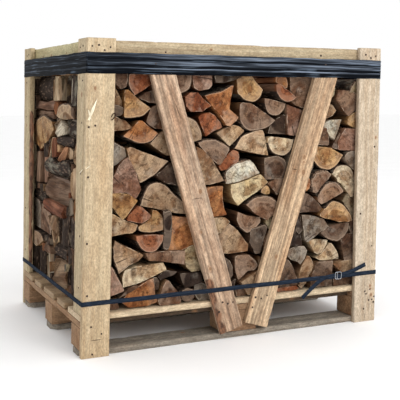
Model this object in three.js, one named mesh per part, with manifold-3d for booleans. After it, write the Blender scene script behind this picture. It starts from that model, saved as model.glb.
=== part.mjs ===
// A crate of split firewood on a wooden pallet: four L-shaped corner posts, a top frame of rails,
// two crossed-in braces on each long side, a film band round the top and a strap round the foot.
// Millimetres, +Z up, +X along the long side, the front faces -Y. The origin is on the floor, mid-way.
import * as THREE from "three";
import { mergeVertices } from "three/addons/utils/BufferGeometryUtils.js";
import Module from "manifold-3d";

const wasm = await Module();
wasm.setup();

// ---- Driving dimensions ----
const GAP = 0.3; // clearance left between pieces that touch

const PALLET_LENGTH = 1200;
const PALLET_DEPTH = 800;
const PALLET_BOARD = 22; // thickness of every pallet board
const RUNNER_WIDTH = 100;
const RUNNER_CHAMFER = 24; // plan chamfer on the runners' ends
const BLOCK_HEIGHT = 78;
const BLOCK_DEPTH = 100;
const END_BLOCK_LENGTH = 100;
const MIDDLE_BLOCK_LENGTH = 145;
const WIDE_DECK_BOARD = 145;
const NARROW_DECK_BOARD = 100;
const BEARER_WIDTH = 45;
const BEARER_SETBACK = 30; // how far the bearers stand behind the deck's front edge

const BOARD = 20; // thickness of the crate's own boards
const CRATE_HEIGHT = 1070;
const POST_FACE_WIDTH = 100;
const POST_SIDE_WIDTH = 80;
const RAIL_HEIGHT = 100;
const RAIL_DROP = 5; // rails end this far below the posts' tops

const LOG_LENGTH = 255;
const LOOSE_LOG_LENGTH = 244;
const ROW_TOP = 955;
const ROW_MARGIN = 2; // between the end logs and the side boards
const ROW_SETBACK = 5; // between the log ends and the plane of the posts

const FILM_BOTTOM = 952;
const FILM_HEIGHT = 73;
const FILM_THICKNESS = 3.5;
const STRAP_CENTRE = 186;
const STRAP_WIDTH = 16;
const STRAP_THICKNESS = 1;

// ---- Levels and planes worked out from them ----
const RUNNER_TOP = PALLET_BOARD;
const BLOCK_TOP = RUNNER_TOP + BLOCK_HEIGHT;
const CROSS_TOP = BLOCK_TOP + PALLET_BOARD;
const DECK_TOP = CROSS_TOP + PALLET_BOARD;
const HALF_LENGTH = PALLET_LENGTH / 2;
const HALF_PALLET = PALLET_DEPTH / 2;
const HALF_CRATE = HALF_PALLET + BOARD; // outer face of the posts, front and back
const RAIL_TOP = CRATE_HEIGHT - RAIL_DROP;
const RAIL_BOTTOM = RAIL_TOP - RAIL_HEIGHT;

// ---- Materials ----
const finish = (color, roughness = 0.8, metalness = 0) => ({ color, roughness, metalness });
const PALE_PINE = finish(0xd9bd8c);
const SIDE_PINE = finish(0xc6aa7c);
const PINK_PINE = finish(0xcba888);
const DECK_WOOD = finish(0xc9ab78);
const BLOCK_WOOD = finish(0x8c6f50);
const WEATHERED = finish(0x7c7468);
const DARK_WOOD = finish(0x4a4034);
const SPLIT_LOG = finish(0xa9774a);
const BARK_LOG = finish(0x6b5644);
const BLACK_FILM = finish(0x16191d, 0.25);
const NAVY_STRAP = finish(0x232a3a, 0.45);
const BRIGHT_WIRE = finish(0xc0c4c8, 0.3, 1);

// ---- Makers ----
const crate = new THREE.Group();
crate.name = "firewood_crate";

function piece(name, geometry, material, position = [0, 0, 0], turn = 0) {
  const mesh = new THREE.Mesh(geometry, new THREE.MeshStandardMaterial(material));
  mesh.name = name;
  mesh.position.set(...position);
  mesh.rotation.z = turn;
  crate.add(mesh);
  return mesh;
}

// A box between two corners, drawn in by half a gap on every side that meets a neighbour.
function board(name, low, high, material) {
  const size = high.map((top, axis) => top - low[axis] - GAP);
  const centre = high.map((top, axis) => (top + low[axis]) / 2);
  return piece(name, new THREE.BoxGeometry(...size), material, centre);
}

const outline = (points) => new THREE.Shape(points.map(([x, y]) => new THREE.Vector2(x, y)));

// A shape drawn in (x, z) and given a thickness in y, from the plane y = front to the back of it.
function upright(shape, front, thickness) {
  const geometry = new THREE.ExtrudeGeometry(shape, {
    depth: thickness,
    bevelEnabled: false,
    curveSegments: 10,
  });
  geometry.rotateX(Math.PI / 2);
  geometry.translate(0, front + thickness, 0);
  return geometry;
}

function asSolid(geometry) {
  const bare = geometry.clone();
  bare.deleteAttribute("normal");
  bare.deleteAttribute("uv");
  const merged = mergeVertices(bare, 1e-4);
  return new wasm.Manifold(
    new wasm.Mesh({
      numProp: 3,
      vertProperties: new Float32Array(merged.attributes.position.array),
      triVerts: new Uint32Array(merged.index.array),
    }),
  );
}

function joined(...geometries) {
  const mesh = geometries
    .map(asSolid)
    .reduce((sum, solid) => sum.add(solid))
    .getMesh();
  const geometry = new THREE.BufferGeometry();
  geometry.setAttribute("position", new THREE.BufferAttribute(mesh.vertProperties, 3));
  geometry.setIndex(new THREE.BufferAttribute(mesh.triVerts, 1));
  return geometry;
}

// ---- Pallet ----
const RUNNERS = { front: -1, middle: 0, back: 1 };
const runnerY = (side) => side * (HALF_PALLET - RUNNER_WIDTH / 2);
const COLUMNS = { left: -1, centre: 0, right: 1 };
const columnX = (side) => side * (HALF_LENGTH - END_BLOCK_LENGTH / 2);
const columnLength = (side) => (side === 0 ? MIDDLE_BLOCK_LENGTH : END_BLOCK_LENGTH);

function runnerShape() {
  const x = HALF_LENGTH - GAP;
  const y = RUNNER_WIDTH / 2 - GAP;
  const cut = RUNNER_CHAMFER;
  return outline([
    [-x, -y + cut],
    [-x + cut, -y],
    [x - cut, -y],
    [x, -y + cut],
    [x, y - cut],
    [x - cut, y],
    [-x + cut, y],
    [-x, y - cut],
  ]);
}

for (const [row, side] of Object.entries(RUNNERS)) {
  const y = runnerY(side);
  const runner = new THREE.ExtrudeGeometry(runnerShape(), {
    depth: PALLET_BOARD - GAP / 2,
    bevelEnabled: false,
  });
  piece(`bottom_board_${row}`, runner, WEATHERED, [0, y, 0]);
  for (const [column, across] of Object.entries(COLUMNS)) {
    const x = columnX(across);
    const half = columnLength(across) / 2;
    board(
      `block_${row}_${column}`,
      [x - half, y - BLOCK_DEPTH / 2, RUNNER_TOP],
      [x + half, y + BLOCK_DEPTH / 2, BLOCK_TOP],
      BLOCK_WOOD,
    );
  }
}

for (const [column, across] of Object.entries(COLUMNS)) {
  const x = columnX(across);
  const half = columnLength(across) / 2;
  board(
    `cross_board_${column}`,
    [x - half, -HALF_PALLET, BLOCK_TOP],
    [x + half, HALF_PALLET, CROSS_TOP],
    BLOCK_WOOD,
  );
}

// Short bearers under the outer deck boards, between the cross boards.
for (const [row, side] of [["front", -1], ["back", 1]]) {
  for (const [column, across] of [["left", -1], ["right", 1]]) {
    const outer = across * (HALF_LENGTH - END_BLOCK_LENGTH);
    const inner = (across * MIDDLE_BLOCK_LENGTH) / 2;
    const far = side * (HALF_PALLET - BEARER_SETBACK);
    const near = far - side * BEARER_WIDTH;
    board(
      `bearer_${row}_${column}`,
      [Math.min(outer, inner), Math.min(far, near), BLOCK_TOP],
      [Math.max(outer, inner), Math.max(far, near), CROSS_TOP],
      DARK_WOOD,
    );
  }
}

const deckWidths = [
  WIDE_DECK_BOARD,
  NARROW_DECK_BOARD,
  WIDE_DECK_BOARD,
  NARROW_DECK_BOARD,
  WIDE_DECK_BOARD,
];
const deckGap =
  (PALLET_DEPTH - deckWidths.reduce((sum, width) => sum + width)) / (deckWidths.length - 1);
let deckY = -HALF_PALLET;
deckWidths.forEach((width, index) => {
  board(
    `deck_board_${index + 1}`,
    [-HALF_LENGTH, deckY, CROSS_TOP],
    [HALF_LENGTH, deckY + width, DECK_TOP],
    DECK_WOOD,
  );
  deckY += width + deckGap;
});

// ---- Corner posts: a face board to the floor, and a side board that stands on the deck ----
for (const [row, side] of [["front", -1], ["back", 1]]) {
  for (const [column, across] of [["left", -1], ["right", 1]]) {
    const x = [across * HALF_LENGTH, across * (HALF_LENGTH - POST_FACE_WIDTH)];
    const y = [side * HALF_PALLET, side * HALF_CRATE];
    board(
      `post_${row}_${column}_face`,
      [Math.min(...x), Math.min(...y), -GAP / 2],
      [Math.max(...x), Math.max(...y), CRATE_HEIGHT + GAP / 2],
      PALE_PINE,
    );
    const sideX = [across * HALF_LENGTH, across * (HALF_LENGTH - BOARD)];
    const sideY = [side * HALF_PALLET, side * (HALF_PALLET - POST_SIDE_WIDTH)];
    board(
      `post_${row}_${column}_side`,
      [Math.min(...sideX), Math.min(...sideY), DECK_TOP],
      [Math.max(...sideX), Math.max(...sideY), CRATE_HEIGHT + GAP / 2],
      SIDE_PINE,
    );
  }
}

// ---- Top rails, inside the posts ----
const railX = HALF_LENGTH - BOARD;
const railY = HALF_PALLET - BOARD;
board("rail_front", [-railX, -HALF_PALLET, RAIL_BOTTOM], [railX, -railY, RAIL_TOP], PALE_PINE);
board("rail_back", [-railX, railY, RAIL_BOTTOM], [railX, HALF_PALLET, RAIL_TOP], PALE_PINE);
board("rail_left", [-railX, -railY, RAIL_BOTTOM], [-railX + BOARD, railY, RAIL_TOP], SIDE_PINE);
board("rail_right", [railX - BOARD, -railY, RAIL_BOTTOM], [railX, railY, RAIL_TOP], SIDE_PINE);

// ---- Braces: straight boards that lean in from the rail to the middle runner block ----
// Each brace is its centre line's top and foot (x, z) and its width.
const BRACES = {
  left: { top: [-331, 1008], foot: [-40, 33], width: 96 },
  right: { top: [366, 1008], foot: [62, 41], width: 98 },
};

function braceShape({ top, foot, width }) {
  const run = new THREE.Vector2(foot[0] - top[0], foot[1] - top[1]).normalize();
  const half = new THREE.Vector2(-run.y, run.x).multiplyScalar(width / 2);
  return outline([
    [top[0] + half.x, top[1] + half.y],
    [top[0] - half.x, top[1] - half.y],
    [foot[0] - half.x, foot[1] - half.y],
    [foot[0] + half.x, foot[1] + half.y],
  ]);
}

for (const [column, brace] of Object.entries(BRACES)) {
  const front = -HALF_CRATE + GAP / 2;
  const plank = upright(braceShape(brace), front, BOARD - GAP);
  piece(`brace_front_${column}`, plank, PINK_PINE);
  piece(`brace_back_${column}`, plank.clone(), PINK_PINE, [0, 0, 0], Math.PI);
}

// ---- Stacked logs: each row is one solid that reaches the tips of its logs ----
const rowFront = HALF_PALLET - ROW_SETBACK;
const ROWS = { front: -rowFront + LOG_LENGTH / 2, middle: 0, back: rowFront - LOG_LENGTH / 2 };
const rowHalf = HALF_LENGTH - BOARD - ROW_MARGIN;
for (const [row, y] of Object.entries(ROWS)) {
  board(
    `log_row_${row}`,
    [-rowHalf, y - LOG_LENGTH / 2, DECK_TOP],
    [rowHalf, y + LOG_LENGTH / 2, ROW_TOP],
    SPLIT_LOG,
  );
}

// ---- Loose logs on top: outlines in (x, z) that stand on a flat split face ----
function halfLog(radius) {
  const shape = new THREE.Shape();
  shape.absarc(0, 0, radius, 0, Math.PI, false);
  return shape;
}

function quarterLog(radius) {
  const shape = new THREE.Shape();
  shape.moveTo(-radius / 2, 0);
  shape.lineTo(radius / 2, 0);
  shape.absarc(-radius / 2, 0, radius, 0, Math.PI / 2, false);
  return shape;
}

const wedgeLog = (size) =>
  outline([
    [-size * 0.62, 0],
    [size * 0.6, 0],
    [size * 0.5, size * 0.3],
    [-size * 0.1, size * 0.74],
    [-size * 0.3, size * 0.66],
  ]);

const blockLog = (size) =>
  outline([
    [-size * 0.52, 0],
    [size * 0.48, 0],
    [size * 0.56, size * 0.5],
    [size * 0.1, size * 0.72],
    [-size * 0.5, size * 0.6],
  ]);

// Row, x, outline, size, bark or split side up, and turn in degrees.
const LOOSE_LOGS = [
  ["front", -470, halfLog, 66, BARK_LOG, 1.2],
  ["front", -262, quarterLog, 78, SPLIT_LOG, -0.8],
  ["front", -30, halfLog, 61, BARK_LOG, 0.5],
  ["front", 212, wedgeLog, 104, SPLIT_LOG, -1.3],
  ["front", 445, quarterLog, 74, SPLIT_LOG, 1.0],
  ["middle", -375, quarterLog, 76, SPLIT_LOG, 0.7],
  ["middle", -130, blockLog, 108, SPLIT_LOG, -1.2],
  ["middle", 135, halfLog, 68, BARK_LOG, 1.4],
  ["middle", 390, wedgeLog, 100, SPLIT_LOG, -0.6],
  ["back", -470, blockLog, 102, SPLIT_LOG, -1.0],
  ["back", -240, halfLog, 64, BARK_LOG, 1.3],
  ["back", 5, wedgeLog, 106, SPLIT_LOG, 0.6],
  ["back", 240, quarterLog, 77, SPLIT_LOG, -1.4],
  ["back", 465, halfLog, 67, BARK_LOG, 0.9],
];
const LOOSE_ROWS = { front: -252, middle: 0, back: 252 };

LOOSE_LOGS.forEach(([row, x, shape, size, material, degrees], index) => {
  piece(
    `loose_log_${String(index + 1).padStart(2, "0")}`,
    upright(shape(size), -LOOSE_LOG_LENGTH / 2, LOOSE_LOG_LENGTH),
    material,
    [x, LOOSE_ROWS[row], ROW_TOP + GAP],
    THREE.MathUtils.degToRad(degrees),
  );
});

// ---- Film band and strap: closed loops round the whole crate ----
function loopShape(offset, thickness) {
  const ring = (grow) => {
    const x = HALF_LENGTH + offset + grow;
    const y = HALF_CRATE + offset + grow;
    const r = Math.max(grow, 0.5);
    const shape = new THREE.Shape();
    shape.moveTo(x - r, -y);
    shape.absarc(x - r, -y + r, r, -Math.PI / 2, 0, false);
    shape.absarc(x - r, y - r, r, 0, Math.PI / 2, false);
    shape.absarc(-x + r, y - r, r, Math.PI / 2, Math.PI, false);
    shape.absarc(-x + r, -y + r, r, Math.PI, (3 * Math.PI) / 2, false);
    return shape;
  };
  const shape = ring(thickness);
  shape.holes.push(ring(0));
  return shape;
}

function loop(offset, thickness, height) {
  return new THREE.ExtrudeGeometry(loopShape(offset, thickness), {
    depth: height,
    bevelEnabled: false,
    curveSegments: 3,
  });
}

piece("film_band", loop(GAP, FILM_THICKNESS, FILM_HEIGHT), BLACK_FILM, [0, 0, FILM_BOTTOM]);

const BUCKLE_X = 420;
const strapOuter = HALF_CRATE + GAP + STRAP_THICKNESS;
// The strap's two loose ends leave the buckle along these centre lines (x, z).
const TAILS = [
  [[402, 190], [262, 109]],
  [[438, 184], [545, 213]],
];

function tail([start, end]) {
  const run = new THREE.Vector2(end[0] - start[0], end[1] - start[1]).normalize();
  const half = new THREE.Vector2(-run.y, run.x).multiplyScalar(STRAP_WIDTH / 2);
  const strip = outline([
    [start[0] + half.x, start[1] + half.y],
    [start[0] - half.x, start[1] - half.y],
    [end[0] - half.x, end[1] - half.y],
    [end[0] + half.x, end[1] + half.y],
  ]);
  return upright(strip, -strapOuter - 0.7, STRAP_THICKNESS);
}

const strapLoop = loop(GAP, STRAP_THICKNESS, STRAP_WIDTH);
strapLoop.translate(0, 0, STRAP_CENTRE - STRAP_WIDTH / 2);
piece("strap", joined(strapLoop, ...TAILS.map(tail)), NAVY_STRAP);

// A wire buckle: one closed frame of round wire, in front of the strap.
const BUCKLE_SIZE = [26, 24];
const BUCKLE_WIRE = 2.2;
function buckleShape() {
  const [width, height] = BUCKLE_SIZE;
  const frame = (grow) => {
    const x = width / 2 - grow;
    const z = height / 2 - grow;
    return outline([[-x, -z], [x, -z], [x, z], [-x, z]]);
  };
  const shape = frame(0);
  shape.holes.push(frame(BUCKLE_WIRE));
  return shape;
}
const buckleFront = -strapOuter - GAP - BUCKLE_WIRE;
piece(
  "strap_buckle",
  upright(buckleShape(), buckleFront, BUCKLE_WIRE),
  BRIGHT_WIRE,
  [BUCKLE_X, 0, STRAP_CENTRE],
);

export default crate;
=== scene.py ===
"""Firewood crate: split logs stacked three rows deep on a pallet, boarded, wrapped and strapped.

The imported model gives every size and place. Each operator makes one piece or one group of like pieces.
"""

import math

import bpy
import numpy as np
from mathutils import Matrix, Vector


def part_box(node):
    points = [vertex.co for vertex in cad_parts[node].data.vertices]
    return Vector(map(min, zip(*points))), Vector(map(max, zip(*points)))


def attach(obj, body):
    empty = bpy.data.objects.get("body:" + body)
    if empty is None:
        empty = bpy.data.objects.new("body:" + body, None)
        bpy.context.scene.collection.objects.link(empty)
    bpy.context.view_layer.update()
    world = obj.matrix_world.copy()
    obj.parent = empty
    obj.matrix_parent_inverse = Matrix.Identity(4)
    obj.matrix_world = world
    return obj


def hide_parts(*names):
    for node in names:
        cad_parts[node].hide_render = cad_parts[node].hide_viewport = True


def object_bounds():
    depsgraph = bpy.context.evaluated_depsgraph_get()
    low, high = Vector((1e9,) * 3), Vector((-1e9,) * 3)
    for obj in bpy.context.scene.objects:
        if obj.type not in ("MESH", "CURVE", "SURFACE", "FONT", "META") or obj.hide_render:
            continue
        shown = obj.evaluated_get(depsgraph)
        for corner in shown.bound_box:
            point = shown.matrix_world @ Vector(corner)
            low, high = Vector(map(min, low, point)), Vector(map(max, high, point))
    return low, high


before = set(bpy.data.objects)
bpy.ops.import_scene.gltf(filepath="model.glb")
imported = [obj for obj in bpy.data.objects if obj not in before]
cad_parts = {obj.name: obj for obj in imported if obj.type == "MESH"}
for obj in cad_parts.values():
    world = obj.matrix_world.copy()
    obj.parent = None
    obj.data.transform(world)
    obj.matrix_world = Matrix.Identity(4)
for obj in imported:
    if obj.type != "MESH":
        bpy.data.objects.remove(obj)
CAD_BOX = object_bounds()

bl_info = {
    "name": "Firewood Crate",
    "version": (1, 0, 0),
    "blender": (4, 5, 0),
    "location": "View3D > Sidebar > Firewood",
    "description": "Builds a pallet crate of stacked split logs with its film band, strap and finishes",
    "category": "Add Mesh",
}

MM = 0.001
BODY = "root"

# How far the left end leans along X at the floor and at the top, and where the lean starts and is whole, in metres.
LEAN_FOOT, LEAN_TOP, LEAN_FROM, LEAN_WHOLE = -0.008, 0.018, -0.28, -0.5

# ---------------------------------------------------------------- colours

# Wood colours, as red, green and blue from 0 to 255.
TONES = {
    "cream": (212, 194, 162),
    "straw": (196, 178, 140),
    "sand": (186, 160, 128),
    "tan": (166, 138, 108),
    "honey": (182, 144, 98),
    "amber": (178, 122, 76),
    "rust": (148, 90, 58),
    "rose": (160, 124, 104),
    "clay": (136, 108, 87),
    "umber": (106, 84, 68),
    "walnut": (78, 62, 50),
    "ash": (140, 130, 117),
    "stone": (198, 193, 176),
    "olive": (116, 102, 78),
    "soot": (60, 47, 39),
}


def linear(colour):
    """A colour of 0 to 255 parts as the linear colour that shaders take."""
    parts = np.asarray(colour, dtype=float) / 255.0
    low = parts / 12.92
    high = ((parts + 0.055) / 1.055) ** 2.4
    return tuple(np.where(parts <= 0.04045, low, high)) + (1.0,)


# ---------------------------------------------------------------- the frame's places


def node_box(name):
    """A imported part's lowest and highest corners as arrays, in metres."""
    low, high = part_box(name)
    return np.array(low), np.array(high)


# ---------------------------------------------------------------- meshes


class Heap:
    """Vertices, faces and attributes of several shapes that become one mesh."""

    def __init__(self, kinds):
        self.kinds = kinds
        self.points = []
        self.faces = []
        self.slots = []
        self.values = {name: [] for name in kinds}
        self.count = 0

    def add(self, points, faces, slots, values):
        """Add one shape. Faces count from zero within the shape."""
        start = self.count
        self.points.append(np.asarray(points, dtype=float))
        self.faces.extend([tuple(i + start for i in face) for face in faces])
        self.slots.extend(slots)
        for name in self.kinds:
            self.values[name].append(np.asarray(values[name], dtype=float))
        self.count += len(points)

    def piece(self, name, materials, sharp_angle=38.0):
        """The finished object, at the origin with its place in its mesh."""
        mesh = bpy.data.meshes.new(name)
        mesh.from_pydata(np.concatenate(self.points).tolist(), [], self.faces)
        for material in materials:
            mesh.materials.append(material)
        mesh.polygons.foreach_set("material_index", self.slots)
        for attribute, kind in self.kinds.items():
            layer = mesh.attributes.new(attribute, kind, "POINT")
            data = np.concatenate(self.values[attribute]).ravel()
            field = {"FLOAT": "value", "FLOAT_VECTOR": "vector", "FLOAT_COLOR": "color"}[kind]
            layer.data.foreach_set(field, data)
        mesh.polygons.foreach_set("use_smooth", [True] * len(mesh.polygons))
        mesh.set_sharp_from_angle(angle=math.radians(sharp_angle))
        mesh.update()
        return new_object(name, mesh)


def new_object(name, data):
    """An object in the scene that holds a mesh, curve, light or camera."""
    made = bpy.data.objects.new(name, data)
    bpy.context.scene.collection.objects.link(made)
    return made


def repeat(value, count):
    """The same value for every vertex of a shape."""
    return np.tile(np.asarray(value, dtype=float), (count, 1))


# ---------------------------------------------------------------- shader graphs


def written(operation, swapped=False):
    """A Python operator that writes one step of arithmetic into a result's tree."""

    def operator(result, other):
        return result.graph.combine(operation, *((other, result) if swapped else (result, other)))

    return operator


class Result:
    """A node's result. The signs + - * / and abs() write further nodes from it."""

    def __init__(self, graph, socket):
        self.graph = graph
        self.socket = socket

    def __abs__(self):
        return self.graph.math("ABSOLUTE", self)

    __add__, __radd__ = written("ADD"), written("ADD", True)
    __sub__, __rsub__ = written("SUBTRACT"), written("SUBTRACT", True)
    __mul__, __rmul__ = written("MULTIPLY"), written("MULTIPLY", True)
    __truediv__ = written("DIVIDE")


class Graph:
    """Writes a shader tree step by step. Most methods give back a result."""

    def __init__(self, tree):
        self.tree = tree

    def add(self, kind, **settings):
        """A new node with its settings."""
        node = self.tree.nodes.new(kind)
        for key, value in settings.items():
            setattr(node, key, value)
        return node

    def feed(self, socket, value):
        """Link a result to a socket, or set the socket's own value."""
        if isinstance(value, Result):
            self.tree.links.new(value.socket, socket)
        elif value is not None:
            socket.default_value = value

    def run(self, kind, inputs, output=0, **settings):
        """A new node with its inputs fed, in order or by name or number, and one of its results."""
        node = self.add(kind, **settings)
        for key, value in inputs.items() if isinstance(inputs, dict) else enumerate(inputs):
            self.feed(node.inputs[key], value)
        return Result(self, node.outputs[output])

    def math(self, operation, *values):
        """One step of arithmetic on numbers."""
        return self.run("ShaderNodeMath", values, operation=operation)

    def combine(self, operation, first, second):
        """Two results, or a result and a plain value, combined by what they are: numbers, vectors or colours."""
        kinds = [value.socket.type for value in (first, second) if isinstance(value, Result)]
        if "RGBA" in kinds:
            pair = [self.grey(v) if isinstance(v, Result) and v.socket.type == "VALUE" else v for v in (first, second)]
            return self.mix(1.0, *pair, operation)
        if "VECTOR" in kinds:
            return self.run("ShaderNodeVectorMath", (first, second), operation=operation)
        return self.math(operation, first, second)

    def length(self, vector):
        """A vector's length."""
        return self.run("ShaderNodeVectorMath", (vector,), "Value", operation="LENGTH")

    def split(self, vector):
        """The three parts of a vector."""
        node = self.add("ShaderNodeSeparateXYZ")
        self.feed(node.inputs[0], vector)
        return [Result(self, socket) for socket in node.outputs]

    def join(self, *parts):
        """A vector from three parts."""
        return self.run("ShaderNodeCombineXYZ", parts)

    def attribute(self, name, output="Vector"):
        """A value stored on the mesh."""
        return self.run("ShaderNodeAttribute", (), output, attribute_name=name)

    def place(self):
        """The point's place on the object."""
        return self.run("ShaderNodeTexCoord", (), "Object")

    def noise(self, vector, detail=2.0, rough=0.5, warp=0.0, scale=1.0):
        """Smooth noise from 0 to 1."""
        inputs = {"Vector": vector, "Scale": scale, "Detail": detail, "Roughness": rough, "Distortion": warp}
        return self.run("ShaderNodeTexNoise", inputs, "Fac")

    def cells(self, vector):
        """Cell noise: the distance to the nearest of many scattered points."""
        return self.run("ShaderNodeTexVoronoi", {"Vector": vector, "Scale": 1.0}, "Distance", feature="F1")

    def span(self, value, low, high, start=0.0, end=1.0):
        """The value's smooth place between low and high, as a number from start to end."""
        return self.run("ShaderNodeMapRange", (value, low, high, start, end), interpolation_type="SMOOTHSTEP")

    def mix(self, factor, first, second, blend="MIX"):
        """Two colours mixed by a factor."""
        inputs = {0: factor, 6: first, 7: second}
        return self.run("ShaderNodeMix", inputs, 2, data_type="RGBA", blend_type=blend)

    def grey(self, value):
        """A number as a grey colour, to multiply another by."""
        return self.run("ShaderNodeCombineColor", (value, value, value))

    def bump(self, height, depth, strength):
        """A normal that follows a height from 0 to 1, whose full depth is in metres."""
        return self.run("ShaderNodeBump", {"Strength": strength, "Distance": depth, "Height": height})

    def surface(self, shader, colour, height, depth, strength):
        """Give the surface shader its colour and its bump."""
        self.feed(shader["Base Color"], colour)
        self.feed(shader["Normal"], self.bump(height, depth, strength))


def material(name, roughness, specular=0.35, metallic=0.0):
    """A named material with one surface shader, its graph and the shader's inputs."""
    made = bpy.data.materials.new(name)
    made.use_nodes = True
    graph = Graph(made.node_tree)
    shader = made.node_tree.nodes["Principled BSDF"].inputs
    shader["Roughness"].default_value = roughness
    shader["Specular IOR Level"].default_value = specular
    shader["Metallic"].default_value = metallic
    return made, graph, shader


def sawn_wood(name, pale, dark, stain=0.35, fuzz=0.4, grime=0.2, roughness=0.72, streak=0.08):
    """Sawn board: year rings cut along the grain, fibres, knots, cracks, wane and stains.

    The mesh's grain attribute is measured from the tree's pith: across, through and along the board.
    """
    made, g, shader = material(name, roughness, specular=0.25)
    grain = g.attribute("grain")
    across, through, along = g.split(grain)
    knot = g.attribute("knot")
    knot_reach = g.length(knot)
    slow = g.noise(grain * (9.0, 9.0, 1.6), 2.0)
    swerve = g.span(knot_reach, 0.6, 4.5, 0.008, 0.0)
    radius = g.length(g.join(across, through, 0.0)) + slow * 0.034 + swerve
    drift = along * 0.5
    rings = g.noise(g.join(radius * 210.0, 0.0, drift), 3.0, 0.62)
    bands = g.noise(g.join(radius * 52.0, 4.0, drift), 1.0)
    fibre = g.noise(grain * (640.0, 640.0, 16.0), 4.0, 0.6)
    patch = g.noise(grain * (16.0, 16.0, 3.4), 3.0, 0.55)
    speck = g.noise(grain * (210.0, 210.0, 110.0), 3.0, 0.65)

    blotch = g.noise(grain * (70.0, 70.0, 24.0), 4.0, 0.65)
    light = g.span(rings, 0.3, 0.72, 0.0, 0.42) + g.span(bands, 0.3, 0.7, 0.0, 0.34)
    light += g.span(blotch, 0.3, 0.7, 0.0, 0.24)
    colour = g.mix(light, linear(dark), linear(pale))
    colour *= g.span(blotch, 0.3, 0.72, 0.86, 1.08)
    colour *= g.span(fibre, 0.25, 0.75, 1.0 - 0.34 * fuzz, 1.0 + 0.24 * fuzz)
    colour *= g.span(speck, 0.3, 0.7, 0.76, 1.2)
    streaks = g.noise(grain * (120.0, 120.0, 2.2), 3.0, 0.6)
    colour *= g.span(streaks, 0.32, 0.68, 1.0 - streak, 1.0 + 0.9 * streak)
    stained = colour * linear((212, 184, 160))
    colour = g.mix(g.span(patch, 0.44, 0.74, 0.0, stain), colour, stained)
    colour *= g.attribute("tint", "Color")

    # A knot is a dark disc with a darker ring round it and a warm halo.
    halo = g.span(knot_reach, 0.9, 2.4, 0.3, 0.0)
    colour = g.mix(halo, colour, linear((178, 136, 98)))
    heart = g.noise(knot * (5.0, 5.0, 1.0), 2.0)
    core = g.mix(g.span(heart, 0.35, 0.65), linear((112, 80, 56)), linear((150, 112, 80)))
    colour = g.mix(g.span(knot_reach, 0.75, 1.1, 0.85, 0.0), colour, core)
    ring = abs(knot_reach - 0.98)
    colour = g.mix(g.span(ring, 0.04, 0.2, 0.5, 0.0), colour, linear((84, 58, 40)))

    # A crack runs from -1 to 1 along its length and opens widest at its middle.
    run, side, away = g.split(g.attribute("crack"))
    wobble = g.noise(grain * (60.0, 60.0, 60.0), 2.0) - 0.5
    side = abs(side + wobble * 2.2)
    width = 1.0 - run * run
    gap = width - side - away
    slit = g.span(gap, 0.0, 0.35, 0.0, 1.0)
    colour = g.mix(slit, colour, linear((38, 24, 16)))

    # Grime in the corners and along worn edges, and bark left on a wane.
    edge = g.attribute("edge", "Fac") + patch * 0.006
    colour = g.mix(g.span(edge, 0.002, 0.0062, grime, 0.0), colour, linear((92, 74, 58)))
    scale = g.noise(grain * (90.0, 90.0, 34.0), 4.0, 0.65)
    bark = g.mix(g.span(scale, 0.35, 0.65), linear((70, 48, 37)), linear((140, 100, 74)))
    wane = g.attribute("wane", "Fac") + (patch - 0.5) * 0.9
    colour = g.mix(g.span(wane, 0.34, 0.52), colour, bark)

    height = fibre * 0.62 + rings * 0.38 - slit * 1.5
    g.surface(shader, colour, height, 0.0011 * (0.6 + fuzz), 0.75)
    return made


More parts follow.
